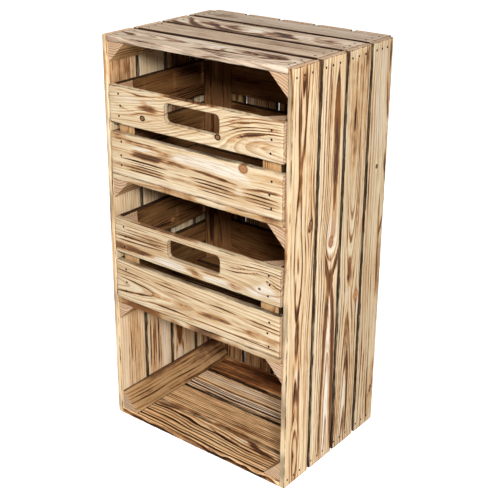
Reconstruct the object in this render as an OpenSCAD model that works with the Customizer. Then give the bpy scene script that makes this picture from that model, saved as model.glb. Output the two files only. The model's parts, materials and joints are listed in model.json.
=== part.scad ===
// Standing crate cabinet in flamed pine: thin boards nailed to triangular strips, with two
// slatted crate drawers that slide on strips above an open bottom compartment.
// Millimetres. The front faces -Y and up is +Z. The origin is under the middle of the whole part.

/* [Cabinet] */
// Width over both side walls
cabinet_w = 408; // [340:1:520]
// Height of the side walls
cabinet_h = 760; // [740:1:900]
// Depth of the side walls, top and bottom
carcass_d = 295; // [240:1:400]
// Thickness of every board
board_t = 11; // [9:0.5:14]
// Gap between neighbouring boards of a wall
board_gap = 6; // [3:0.5:9]
// Share of each side wall board, front to back
side_shares = [73, 70, 69, 65]; // [55:1:85]
// Share of each top board, front to back
top_shares = [73, 69, 72, 63]; // [55:1:85]
// Share of each bottom board, front to back
bottom_shares = [69, 70, 71, 67]; // [55:1:85]

/* [Back] */
// Number of upright back boards
back_count = 5; // [4:1:5]

/* [Strips and runners] */
// Leg of the triangular strips, runners and posts
strip_leg = 40; // [30:1:46]
// How far the strips stand back from the front edge
strip_inset = 3; // [0:0.5:8]
// Height of the lower runners' flat top
lower_runner_z = 248; // [200:1:256]
// Height of the upper runners' flat top
upper_runner_z = 498; // [484:1:506]

/* [Drawers] */
// Gap between a closed drawer and the back boards
drawer_back_gap = 1; // [0.5:0.5:30]
// Side clearance between a drawer and the cabinet wall
drawer_clearance = 2.5; // [1.5:0.5:6]
// How far a closed drawer's front stands out of the cabinet
front_proud = 2; // [0:0.5:6]
// Height of the lower wall boards of a drawer
lower_board_h = 80; // [60:1:86]
// Gap between the lower and the upper wall boards of a drawer
wall_gap = 16; // [8:1:20]
// Height of the upper wall boards of a drawer
upper_board_h = 69; // [62:1:74]

/* [Hand slots] */
// Width of a hand slot
slot_w = 120; // [90:1:140]
// Height of a hand slot
slot_h = 35; // [28:1:38]
// Corner radius of a hand slot
slot_r = 9; // [4:0.5:13]
// Wood left above a hand slot
slot_margin = 12; // [8:1:16]

/* [Nails] */
// Radius of a nail's head
nail_head_r = 2.2; // [1.2:0.1:2.5]
// Radius of a nail's shank
nail_r = 0.9; // [0.7:0.1:1.1]
// Length of a nail
nail_l = 30; // [22:1:32]
// How far a hand-driven nail wanders from its row
nail_wander = 2; // [0:0.5:2]

/* [Hidden] */
$fn = 32;
LEVELS = ["lower", "upper"];
SIDES = ["left", "right"];
ROWS = ["lower", "upper"];
CORNERS = ["bottom", "top"];

pale_pine = [0.85, 0.71, 0.52];
tan_pine = [0.74, 0.58, 0.41];
brown_pine = [0.62, 0.46, 0.31];
nail_grey = [0.22, 0.2, 0.19];

total_d = front_proud + carcass_d + board_t;
carcass_y = front_proud - total_d / 2;
back_y = carcass_y + carcass_d;
inner_w = cabinet_w - 2 * board_t;
strip_l = carcass_d - strip_inset;

drawer_w = inner_w - 2 * drawer_clearance;
drawer_d = front_proud + carcass_d - drawer_back_gap;
drawer_h = board_t + lower_board_h + wall_gap + upper_board_h;
drawer_y = -total_d / 2;
drawer_inner_w = drawer_w - 2 * board_t;
drawer_inner_d = drawer_d - 2 * board_t;
upper_board_z = board_t + lower_board_h + wall_gap;
post_h = drawer_h - board_t - 1;

nail_head_t = 1;
// Distance of a drawer's end nails from its outer corner, inside the post
nail_inset = board_t + 0.35 * strip_leg;
// Distance between the nails of a row, as a share of the board's width
row_pitch = 0.28;
// The side walls' nails stand this far forward of the top's and the bottom's, and a drawer's side
// rows stand between its end rows, so that no two nails meet
nail_stagger = 6;
wall_row_pitch = row_pitch / 2;
back_row_pitch = 0.2;
// Height of the side walls' nails above the inside of the bottom, and below that of the top
side_nail_rise = 4;

// Sum of the first n entries of a list
function sum_of(v, n, i = 0) = i < n ? v[i] + sum_of(v, n, i + 1) : 0;
// Wood in a run of boards, once the gaps are out
function wood(shares, run) = run - board_gap * (len(shares) - 1);
// Width of board i, and where it starts, in a run shared out with equal gaps
function share_w(shares, run, i) = wood(shares, run) * shares[i] / sum_of(shares, len(shares));
function share_at(shares, run, i) =
    i * board_gap + wood(shares, run) * sum_of(shares, i) / sum_of(shares, len(shares));
function even(n) = [for (i = [1:n]) 1];
function side_of(s) = s == "left" ? -1 : 1;
function runner_z(level) = level == "lower" ? lower_runner_z : upper_runner_z;
// A hand-nailed look: a repeatable wander between -1 and 1
function wander(n) = sin(n * 137.5);
// Place of nail k in a row across a board, as a share of the board's width, with k = 1 in the middle
function row(k, pitch = row_pitch) = 0.5 + (k - 1) * pitch;

// A triangular bar along +Y with its square corner on the Y axis
module bar_along_y(length, leg) {
    translate([0, length, 0])
        rotate([90, 0, 0])
            linear_extrude(length)
                polygon([[0, 0], [leg, 0], [0, leg]]);
}

// A nail whose head is level with the surface at the origin and whose shank runs down -Z
module nail() {
    translate([0, 0, -nail_head_t])
        cylinder(r = nail_head_r, h = nail_head_t);
    translate([0, 0, -nail_l])
        cylinder(r = nail_r, h = nail_l - nail_head_t / 2);
}

// One upright board of a side wall, counted from the front
module side_board(side, i) {
    x = side_of(side) < 0 ? -cabinet_w / 2 : cabinet_w / 2 - board_t;
    color(pale_pine)
        translate([x, carcass_y + share_at(side_shares, carcass_d, i), 0])
            cube([board_t, share_w(side_shares, carcass_d, i), cabinet_h]);
}

// One board of the top or the bottom, between the side walls, counted from the front
module cross_board(corner, i) {
    shares = corner == "top" ? top_shares : bottom_shares;
    z = corner == "top" ? cabinet_h - board_t : 0;
    color(tan_pine)
        translate([-inner_w / 2, carcass_y + share_at(shares, carcass_d, i), z])
            cube([inner_w, share_w(shares, carcass_d, i), board_t]);
}

// One upright board of the back, counted from the left
module back_board(i) {
    color(tan_pine)
        translate([-inner_w / 2 + share_at(even(back_count), inner_w, i), back_y, 0])
            cube([share_w(even(back_count), inner_w, i), board_t, cabinet_h]);
}

// A triangular strip in a long corner of the carcass, which holds side and top or bottom together
module corner_strip(corner, side) {
    top = corner == "top";
    z = top ? cabinet_h - board_t : board_t;
    color(pale_pine)
        translate([side_of(side) * inner_w / 2, carcass_y + strip_inset, z])
            mirror([side_of(side) > 0 ? 1 : 0, 0, 0])
                mirror([0, 0, top ? 1 : 0])
                    bar_along_y(strip_l, strip_leg);
}

// A triangular strip with its flat side up, on which a drawer slides
module runner(level, side) {
    color(pale_pine)
        translate([side_of(side) * inner_w / 2, carcass_y + strip_inset, runner_z(level)])
            mirror([side_of(side) > 0 ? 1 : 0, 0, 0])
                mirror([0, 0, 1])
                    bar_along_y(strip_l, strip_leg);
}

// Nails through the side walls into the corner strips, three to a board end
module side_wall_nails() {
    for (side = [-1, 1], i = [0:3], k = [0:2], top = [0, 1]) {
        n = 24 * i + 8 * k + 4 * top + side;
        shares = top ? top_shares : bottom_shares;
        y = share_at(shares, carcass_d, i) + share_w(shares, carcass_d, i) * row(k) - nail_stagger;
        z = board_t + side_nail_rise + nail_wander / 2 * wander(n + 1);
        translate([side * cabinet_w / 2, carcass_y + y + nail_wander * wander(n), top ? cabinet_h - z : z])
            rotate([0, side * 90, 0])
                nail();
    }
}

// Nails through the top and the bottom into the corner strips
module cross_board_nails() {
    for (top = [0, 1], i = [0:3], k = [0:2], side = [-1, 1]) {
        shares = top ? top_shares : bottom_shares;
        n = 30 * i + 11 * k + 5 * top + side;
        y = share_at(shares, carcass_d, i) + share_w(shares, carcass_d, i) * row(k);
        x = inner_w / 2 - 0.3 * strip_leg + nail_wander * wander(n);
        translate([side * x, carcass_y + y + nail_wander * wander(n + 3), top ? cabinet_h : 0])
            rotate([top ? 0 : 180, 0, 0])
                nail();
    }
}

// Nails through the back boards into the rear edges of the top and the bottom
module back_nails() {
    for (i = [0:back_count - 1], k = [0, 2], top = [0, 1]) {
        across = share_w(even(back_count), inner_w, i) * row(k, back_row_pitch);
        x = share_at(even(back_count), inner_w, i) + across + nail_wander * wander(9 * i + k + top);
        z = board_t / 2;
        translate([x - inner_w / 2, back_y + board_t, top ? cabinet_h - z : z])
            rotate([-90, 0, 0])
                nail();
    }
}

// Nails from inside through the runners into each board of the side walls
module runner_nails() {
    drop = 0.35 * strip_leg;
    for (level = LEVELS, side = [-1, 1], i = [0:3]) {
        y = share_at(side_shares, carcass_d, i) + share_w(side_shares, carcass_d, i) / 2;
        translate([side * (inner_w / 2 - strip_leg + drop), carcass_y + y, runner_z(level) - drop])
            rotate([0, -side * 90, 0])
                nail();
    }
}

module carcass_nails() {
    color(nail_grey) {
        side_wall_nails();
        cross_board_nails();
        back_nails();
        runner_nails();
    }
}

// The rounded outline of a hand slot, centred
module slot_outline() {
    square([slot_w, slot_h - 2 * slot_r], center = true);
    square([slot_w - 2 * slot_r, slot_h], center = true);
    for (x = [-1, 1], y = [-1, 1])
        translate([x * (slot_w / 2 - slot_r), y * (slot_h / 2 - slot_r)])
            circle(r = slot_r);
}

// Moves a drawer's piece from its underside's front edge to its place in the cabinet
module at_drawer(level) {
    translate([0, drawer_y, runner_z(level)])
        children();
}

// A full-width board of a drawer's front or back, which covers the ends of the side boards
module end_board(level, face, board_row) {
    upper = board_row == "upper";
    y = face == "front" ? 0 : drawer_d - board_t;
    h = upper ? upper_board_h : lower_board_h;
    color(pale_pine)
        at_drawer(level)
            difference() {
                translate([-drawer_w / 2, y, upper ? upper_board_z : board_t])
                    cube([drawer_w, board_t, h]);
                if (upper && face == "front")
                    translate([0, board_t + 1, drawer_h - slot_margin - slot_h / 2])
                        rotate([90, 0, 0])
                            linear_extrude(board_t + 2)
                                slot_outline();
            }
}

// A board of a drawer's side wall, between the front and the back
module wall_board(level, side, board_row) {
    upper = board_row == "upper";
    x = side == "left" ? -drawer_w / 2 : drawer_w / 2 - board_t;
    color(tan_pine)
        at_drawer(level)
            translate([x, board_t, upper ? upper_board_z : board_t])
                cube([board_t, drawer_inner_d, upper ? upper_board_h : lower_board_h]);
}

// A board of a drawer's floor, under the walls, counted from the front
module floor_board(level, i) {
    color(brown_pine)
        at_drawer(level)
            translate([-drawer_w / 2, share_at(bottom_shares, drawer_d, i), 0])
                cube([drawer_w, share_w(bottom_shares, drawer_d, i), board_t]);
}

// The two triangular posts in a drawer's front or back corners
module posts(level, face) {
    front = face == "front";
    color(pale_pine)
        at_drawer(level)
            for (flip = [0, 1])
                mirror([flip, 0, 0])
                    translate([-drawer_inner_w / 2, front ? board_t : drawer_d - board_t, board_t])
                        mirror([0, front ? 0 : 1, 0])
                            linear_extrude(post_h)
                                polygon([[0, 0], [strip_leg, 0], [0, strip_leg]]);
}

// Nails through the front and back boards of a drawer into its posts
module end_board_nails(level) {
    for (front = [0, 1], upper = [0, 1], side = [-1, 1], k = [0:2]) {
        n = 40 * upper + 17 * front + 9 * k + 3 * side + (level == "upper" ? 5 : 0);
        h = upper ? upper_board_h : lower_board_h;
        z = (upper ? upper_board_z : board_t) + h * row(k) + nail_wander * wander(n);
        x = drawer_w / 2 - nail_inset + nail_wander * wander(n + 2);
        translate([side * x, front ? 0 : drawer_d, z])
            rotate([front ? 90 : -90, 0, 0])
                nail();
    }
}

// Nails through the side boards of a drawer into its posts
module wall_board_nails(level) {
    for (side = [-1, 1], upper = [0, 1], back = [0, 1], k = [0, 2]) {
        n = 31 * upper + 13 * back + 7 * k + 5 * side + (level == "upper" ? 4 : 0);
        h = upper ? upper_board_h : lower_board_h;
        z = (upper ? upper_board_z : board_t) + h * row(k, wall_row_pitch) + nail_wander * wander(n);
        y = nail_inset + nail_wander * wander(n + 1);
        translate([side * drawer_w / 2, back ? drawer_d - y : y, z])
            rotate([0, side * 90, 0])
                nail();
    }
}

// Nails up through the floor of a drawer into the lower edges of its side walls
module floor_nails() {
    for (side = [-1, 1], i = [0:3], k = [0, 2]) {
        y = share_at(bottom_shares, drawer_d, i) + share_w(bottom_shares, drawer_d, i) * row(k);
        translate([side * (drawer_w - board_t) / 2, y, 0])
            rotate([180, 0, 0])
                nail();
    }
}

module drawer_nails(level) {
    color(nail_grey)
        at_drawer(level) {
            end_board_nails(level);
            wall_board_nails(level);
            floor_nails();
        }
}

for (s = SIDES, i = [1:4])
    side_board(s, i - 1);
for (c = CORNERS, i = [1:4])
    cross_board(c, i - 1);
for (i = [1:back_count])
    back_board(i - 1);
for (c = CORNERS, s = SIDES)
    corner_strip(c, s);
for (l = LEVELS, s = SIDES)
    runner(l, s);
carcass_nails();
for (l = LEVELS, f = ["front", "back"], r = ROWS)
    end_board(l, f, r);
for (l = LEVELS, s = SIDES, r = ROWS)
    wall_board(l, s, r);
for (l = LEVELS, i = [1:4])
    floor_board(l, i - 1);
for (l = LEVELS, f = ["front", "back"])
    posts(l, f);
for (l = LEVELS)
    drawer_nails(l);
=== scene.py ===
# %% [markdown]
# # A crate cabinet in flamed pine
# The cabinet is a fruit crate stood on end: thin pine boards nailed to triangular strips, and two
# crate drawers that slide on runners. The wood was passed through a gas flame and brushed, which
# leaves pale wood, dark growth rings, scorched patches and blackened edges.
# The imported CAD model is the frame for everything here. It says how long, wide and thick each
# board is and where it sits, and this lesson gives each board its sawn shape and its grain.

# %% Load the frame
import json
import math
import random

import bpy
import numpy as np
from mathutils import Matrix, Vector


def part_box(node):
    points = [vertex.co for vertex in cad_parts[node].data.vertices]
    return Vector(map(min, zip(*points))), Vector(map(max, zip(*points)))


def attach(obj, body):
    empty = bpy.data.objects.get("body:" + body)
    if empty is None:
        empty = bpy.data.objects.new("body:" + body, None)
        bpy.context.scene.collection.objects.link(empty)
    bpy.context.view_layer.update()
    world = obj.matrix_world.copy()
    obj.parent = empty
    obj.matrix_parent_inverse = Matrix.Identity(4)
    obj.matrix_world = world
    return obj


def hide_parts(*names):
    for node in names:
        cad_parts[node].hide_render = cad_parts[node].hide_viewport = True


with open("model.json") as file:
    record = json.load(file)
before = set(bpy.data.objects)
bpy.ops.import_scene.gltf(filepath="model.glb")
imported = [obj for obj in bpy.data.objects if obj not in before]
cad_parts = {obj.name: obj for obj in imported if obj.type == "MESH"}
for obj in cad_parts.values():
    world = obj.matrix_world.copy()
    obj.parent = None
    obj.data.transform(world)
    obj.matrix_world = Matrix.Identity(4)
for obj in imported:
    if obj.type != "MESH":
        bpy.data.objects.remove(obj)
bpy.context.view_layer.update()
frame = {"nodes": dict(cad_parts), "record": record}
MM = 0.001

# %% [markdown]
# ## Wiring helpers
# A wood grain is a formula: how far a point is from the middle of the log, divided into rings.
# These helpers add one node each and link it, so that a formula can be read from left to right.
# A value may be a number or another node's output.

# %% The wiring helpers
class Wiring:
    """Adds nodes to one tree, each call returning the output that the next call takes."""

    def __init__(self, tree):
        self.tree = tree

    def feed(self, socket, value):
        if isinstance(value, bpy.types.NodeSocket):
            self.tree.links.new(value, socket)
        else:
            socket.default_value = value

    def node(self, kind, **settings):
        made = self.tree.nodes.new("ShaderNode" + kind)
        for name, value in settings.items():
            setattr(made, name, value)
        return made

    def math(self, operation, *values, clamp=False):
        made = self.node("Math", operation=operation, use_clamp=clamp)
        for socket, value in zip(made.inputs, values):
            self.feed(socket, value)
        return made.outputs[0]

    def add(self, a, b):
        return self.math("ADD", a, b)

    def less(self, a, b):
        return self.math("SUBTRACT", a, b)

    def times(self, a, b):
        return self.math("MULTIPLY", a, b)

    def split(self, vector):
        made = self.node("SeparateXYZ")
        self.feed(made.inputs[0], vector)
        return made.outputs["X"], made.outputs["Y"], made.outputs["Z"]

    def join(self, x, y, z):
        made = self.node("CombineXYZ")
        for socket, value in zip(made.inputs, (x, y, z)):
            self.feed(socket, value)
        return made.outputs[0]

    def ramp(self, value, start, end, low=0.0, high=1.0):
        """Rises smoothly from low to high while value goes from start to end."""
        made = self.node("MapRange", interpolation_type="SMOOTHSTEP")
        for name, given in (("Value", value), ("From Min", start), ("From Max", end),
                            ("To Min", low), ("To Max", high)):
            self.feed(made.inputs[name], given)
        return made.outputs["Result"]

    def noise(self, place, scale, detail=2.0, roughness=0.5):
        made = self.node("TexNoise")
        for name, given in (("Vector", place), ("Scale", scale), ("Detail", detail),
                            ("Roughness", roughness)):
            self.feed(made.inputs[name], given)
        return made.outputs["Fac"]

    def mix(self, share, first, second, blend="MIX"):
        made = self.node("Mix", data_type="RGBA", blend_type=blend)
        for index, given in ((0, share), (6, first), (7, second)):
            self.feed(made.inputs[index], given)
        return made.outputs[2]

    def group(self, name, **values):
        made = self.node("Group", node_tree=bpy.data.node_groups[name])
        for label, given in values.items():
            self.feed(made.inputs[label], given)
        return made

    def attribute(self, name, output="Fac"):
        return self.node("Attribute", attribute_name=name).outputs[output]


def new_group(name, inputs, outputs):
    """A shader node group with named sockets. Returns its wiring, its inputs and its end node."""
    tree = bpy.data.node_groups.new(name, "ShaderNodeTree")
    for label, kind, value in inputs:
        socket = tree.interface.new_socket(label, in_out="INPUT", socket_type="NodeSocket" + kind)
        if value is not None:
            socket.default_value = value
    for label, kind in outputs:
        tree.interface.new_socket(label, in_out="OUTPUT", socket_type="NodeSocket" + kind)
    start = tree.nodes.new("NodeGroupInput")
    end = tree.nodes.new("NodeGroupOutput")
    return Wiring(tree), start.outputs, end.inputs


def paint(red, green, blue):
    """A colour written as a painter reads it, from 0 to 255, in the shader's linear scale."""
    parts = [v / 255 for v in (red, green, blue)]
    linear = [v / 12.92 if v <= 0.04045 else ((v + 0.055) / 1.055) ** 2.4 for v in parts]
    return (*linear, 1.0)


print("Helpers for node trees are ready.")

# %% [markdown]
# ## The camera and the light
# The cabinet is seen from its front right corner and from a little above, through a long lens, so
# that its upright edges lean in only slightly. A small shift puts the cabinet in the picture
# without turning the camera.
# The light is a studio's: two soft boxes at the front right, one overhead for the top, and a pale
# world that fills what they leave dark. A narrow lamp level with the side wall shines through the
# gaps between its boards. The background is white because the floor and the world glow for the
# camera alone, so it adds no light to the wood, and the floor keeps the cabinet's shadow.

# %% The camera
EYE = Vector((1.0658, -1.3805, 1.1211))
HEADING = math.radians(38.76)
PITCH = math.radians(21.83)
LENS_MM = 73.32
SENSOR_MM = 36.0
SHIFT = (0.0419, -0.0665)


def add_camera():
    """A camera off the front right corner, above the top, looking down on the cabinet."""
    data = bpy.data.cameras.new("studio_camera")
    data.lens = LENS_MM
    data.sensor_width = SENSOR_MM
    data.shift_x, data.shift_y = SHIFT
    camera = bpy.data.objects.new("studio_camera", data)
    camera.location = EYE
    camera.rotation_euler = (math.radians(90) - PITCH, 0.0, HEADING)
    bpy.context.scene.collection.objects.link(camera)
    bpy.context.scene.camera = camera
    print("The camera stands at", [round(v, 3) for v in EYE])


add_camera()

# %% The lamps
AIM = Vector((0, 0, 0.4))
# Each lamp's name, place, width in metres and power in watts.
LAMPS = (
    ("key_soft_box", (1.9, -2.1, 1.8), 0.35, 52),
    ("front_soft_box", (1.2, -2.2, 2.2), 0.5, 38),
    ("top_soft_box", (0.3, -0.3, 3.2), 1.0, 28),
    ("side_spot", (4.8, -0.10, 1.25), 0.05, 45),
)


def add_lamp(name, place, size, power):
    """A square soft box at place, turned to face the middle of the cabinet."""
    data = bpy.data.lights.new(name, "AREA")
    data.size = size
    data.energy = power
    lamp = bpy.data.objects.new(name, data)
    lamp.location = place
    lamp.rotation_euler = (AIM - Vector(place)).to_track_quat("-Z", "Y").to_euler()
    bpy.context.scene.collection.objects.link(lamp)


for lamp in LAMPS:
    add_lamp(*lamp)
print("The studio has", len(bpy.data.lights), "lamps.")

# %% The floor and the world
FLOOR_SIZE = 12.0
FLOOR_GREY = (0.9, 0.9, 0.9, 1.0)
WHITE = (1.0, 1.0, 1.0, 1.0)
GLOW_NEAR, GLOW_FAR = 0.7, 1.0
SHADOW_ENDS, WHITE_STARTS = 0.5, 1.6
FILL, BACKGROUND = 0.12, 1.0


def map_range(w, value, **limits):
    """A straight-line map from one range to another."""
    made = w.node("MapRange")
    w.feed(made.inputs["Value"], value)
    for name, limit in limits.items():
        made.inputs[name.replace("_", " ")].default_value = limit
    return made.outputs["Result"]


def floor_material():
    """Pale, and glowing for the camera: less near the cabinet, so that its shadow shows."""
    material = bpy.data.materials.new("studio_white")
    material.use_nodes = True
    w = Wiring(material.node_tree)
    distance = w.node("VectorMath", operation="LENGTH")
    w.feed(distance.inputs[0], w.node("TexCoord").outputs["Object"])
    whiter = map_range(w, distance.outputs["Value"], From_Min=SHADOW_ENDS, From_Max=WHITE_STARTS,
                       To_Min=GLOW_NEAR, To_Max=GLOW_FAR)
    shader = material.node_tree.nodes["Principled BSDF"]
    shader.inputs["Base Color"].default_value = FLOOR_GREY
    shader.inputs["Roughness"].default_value = 0.9
    shader.inputs["Emission Color"].default_value = WHITE
    w.feed(shader.inputs["Emission Strength"], w.times(w.node("LightPath").outputs["Is Camera Ray"], whiter))
    return material


def add_floor():
    bpy.ops.object.select_all(action="DESELECT")
    bpy.ops.mesh.primitive_plane_add(size=FLOOR_SIZE, location=(0, 0, 0))
    floor = bpy.context.object
    floor.name = "studio_floor"
    floor.data.materials.append(floor_material())


def add_world():
    """A world that is white to the camera and only fills the shadows."""
    world = bpy.data.worlds.new("studio_world")
    world.use_nodes = True
    w = Wiring(world.node_tree)
    back = world.node_tree.nodes["Background"]
    back.inputs["Color"].default_value = WHITE
    seen = w.node("LightPath").outputs["Is Camera Ray"]
    w.feed(back.inputs["Strength"], map_range(w, seen, To_Min=FILL, To_Max=BACKGROUND))
    bpy.context.scene.world = world


add_floor()
add_world()
bpy.context.scene.view_settings.view_transform = "Standard"
print("The floor is", FLOOR_SIZE, "m wide, and the world is", bpy.context.scene.world.name)

# %% [markdown]
# ## Growth rings
# A pine log is a stack of cones. A board is a flat slice of it, so what shows on its face is where
# those cones meet the slice: straight lines far from the pith, arches near it, and eyes round a
# knot. The group takes a point in the board's own coordinates (along, across, through, in metres)
# and the place of the pith, and counts rings from the pith outwards. Each ring is pale early wood
# that darkens into a thin late wood line.

# %% The growth rings group
def knot_field(w, along, across, knot, bend, lean, slimness):
    """How grain bends round one knot: the new across value, and how near the knot's middle it is."""
    knot_along, knot_across, radius = w.split(knot)
    d_along = w.less(along, knot_along)
    d_across = w.less(across, knot_across)
    flat = w.add(w.math("POWER", w.times(d_along, 0.45), 2.0), w.math("POWER", d_across, 2.0))
    reach = w.math("POWER", bend, 2.0)
    share = w.math("DIVIDE", flat, w.add(w.add(flat, reach), 1e-7))
    bent = w.add(knot_across, w.times(d_across, share))
    leaning = w.less(d_across, w.times(d_along, lean))
    stretched = w.add(w.math("POWER", w.times(d_along, slimness), 2.0), w.math("POWER", leaning, 2.0))
    near = w.math("DIVIDE", w.math("SQRT", stretched), w.add(radius, 1e-6))
    return bent, near


def build_growth_rings():
    w, given, out = new_group(
        "growth_rings",
        [("grain", "Vector", None), ("log", "Vector", None), ("knot_a", "Vector", None),
         ("knot_b", "Vector", None), ("knot_bend", "Vector", None), ("knot_lean", "Vector", None),
         ("seed", "Float", 0.0), ("pitch", "Float", 0.005), ("waviness", "Float", 1.0)],
        [("rings", "Float"), ("late_wood", "Float"), ("dense_wood", "Float"), ("knot", "Float"),
         ("knot_rings", "Float"), ("knot_rim", "Float")])
    along, across, through = w.split(given["grain"])
    pith_across, pith_through, _ = w.split(given["log"])
    here = w.times(given["seed"], 7.31)
    # The log is never quite straight: its pith wanders sideways along the board.
    slow = w.join(w.times(along, 1.0), w.times(across, 1.5), here)
    wander = w.times(w.less(w.noise(slow, 4.2, 1.0), 0.5), w.times(given["waviness"], 0.034))
    quick = w.join(along, w.times(across, 3.0), w.add(here, 3.0))
    ripple = w.times(w.less(w.noise(quick, 19.0, 1.0), 0.5), w.times(given["waviness"], 0.0045))
    bend_a, bend_b, _ = w.split(given["knot_bend"])
    lean_a, lean_b, slimness = w.split(given["knot_lean"])
    bent, near_a = knot_field(w, along, across, given["knot_a"], bend_a, lean_a, slimness)
    bent, near_b = knot_field(w, along, bent, given["knot_b"], bend_b, lean_b, slimness)
    side = w.less(w.add(bent, w.add(wander, ripple)), pith_across)
    depth = w.less(through, pith_through)
    radius = w.math("SQRT", w.add(w.math("POWER", side, 2.0), w.math("POWER", depth, 2.0)))
    # Good and lean years: the rings are not all as wide.
    years = w.noise(w.join(w.times(radius, 60.0), here, 0.0), 1.0, 1.0)
    rings = w.add(w.math("DIVIDE", radius, given["pitch"]), w.times(years, 2.6))
    part = w.math("FRACT", rings)
    fall = w.ramp(part, 0.90, 1.0, 1.0, 0.0)
    w.feed(out["rings"], rings)
    w.feed(out["late_wood"], w.times(w.ramp(part, 0.40, 0.86), fall))
    w.feed(out["dense_wood"], w.times(w.ramp(part, 0.50, 0.76), fall))
    near = w.math("MINIMUM", near_a, near_b)
    w.feed(out["knot"], w.ramp(near, 0.80, 1.05, 1.0, 0.0))
    heart = w.ramp(near, 0.12, 0.32, 0.8, 0.0)
    rounds = w.ramp(w.math("FRACT", w.times(near, 2.6)), 0.5, 0.95, 0.0, 0.5)
    w.feed(out["knot_rings"], w.math("MAXIMUM", rounds, heart))
    w.feed(out["knot_rim"], w.times(w.ramp(near, 0.48, 0.66), w.ramp(near, 1.0, 1.18, 1.0, 0.0)))
    print("growth_rings has", len(w.tree.nodes), "nodes.")


build_growth_rings()

# %% [markdown]
# ## What the flame leaves
# A gas flame darkens pine unevenly. Where it lingers, whole bands of the wood turn a smoky brown,
# and round about only the resin-rich late wood sears to dark lines. Both follow the grain, so they
# are read from noises whose coordinates are the place along the board and the ring number. The
# marks a board is known to have come in as mesh attributes and are added to the noise before it is
# cut off, which leaves their ends streaky. Some of the listed smoke is painted shade, not flame.
# Thin edges burn most, so the long edges go black.

# %% The torch marks group
def build_torch_marks():
    w, given, out = new_group(
        "torch_marks",
        [("grain", "Vector", None), ("rings", "Float", 0.0), ("pitch", "Float", 0.005),
         ("seed", "Float", 0.0), ("torch", "Vector", None), ("flame", "Float", 0.0)],
        [("smoke", "Float"), ("char", "Float"), ("sear", "Float"), ("fibre", "Float"),
         ("streak", "Float"), ("vein", "Float"), ("bleach", "Float")])
    along, across, through = w.split(given["grain"])
    marked_smoke_and_shade, marked_sear, kept_pale = w.split(given["torch"])
    here = w.times(given["seed"], 3.17)
    layer = w.times(given["rings"], given["pitch"])
    bands = w.noise(w.join(w.times(along, 6.5), w.times(given["rings"], 0.30), here), 1.0, 2.0)
    lingering = w.noise(w.join(w.times(along, 7.0), w.times(across, 24.0), w.add(here, 9.0)), 1.0, 2.0)
    chance = w.less(w.add(w.times(bands, 0.62), w.times(lingering, 0.38)), 0.5)
    chance = w.less(w.add(w.times(chance, 3.2), given["flame"]), kept_pale)
    fibre_place = w.join(w.times(along, 24.0), w.times(across, 430.0), w.times(through, 430.0))
    hair_place = w.join(w.times(along, 5.0), w.times(layer, 620.0), here)
    hairs = w.noise(hair_place, 1.0, 2.0, 0.6)
    fibre = w.add(w.times(w.noise(fibre_place, 1.0, 3.0, 0.65), 0.62), w.times(hairs, 0.38))
    streak_place = w.join(w.times(along, 11.0), w.times(across, 230.0), here)
    streak = w.less(w.noise(streak_place, 1.0, 2.0, 0.6), 0.5)
    blotch_place = w.join(w.times(along, 50.0), w.times(across, 120.0), w.add(here, 5.0))
    blotch = w.less(w.noise(blotch_place, 1.0, 2.0, 0.55), 0.5)
    vein_place = w.join(w.times(along, 3.2), w.times(layer, 420.0), w.add(here, 11.0))
    vein = w.less(w.noise(vein_place, 1.0, 3.0, 0.62), 0.5)
    ragged = w.add(w.add(w.times(streak, 0.9), w.times(blotch, 0.6)), w.times(vein, 1.0))
    smoke = w.add(w.add(marked_smoke_and_shade, w.math("MAXIMUM", chance, 0.0)), w.times(ragged, 0.9))
    sear = w.add(w.add(marked_sear, w.times(w.math("MAXIMUM", w.add(chance, 0.25), 0.0), 1.2)), ragged)
    w.feed(out["smoke"], w.ramp(smoke, 0.16, 0.98))
    w.feed(out["char"], w.ramp(smoke, 0.95, 1.45))
    w.feed(out["sear"], w.ramp(sear, 0.0, 0.9))
    w.feed(out["streak"], streak)
    w.feed(out["vein"], vein)
    w.feed(out["bleach"], w.ramp(w.add(kept_pale, w.times(ragged, 0.5)), 0.15, 0.9))
    w.feed(out["fibre"], fibre)
    print("torch_marks has", len(w.tree.nodes), "nodes.")


build_torch_marks()

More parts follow.
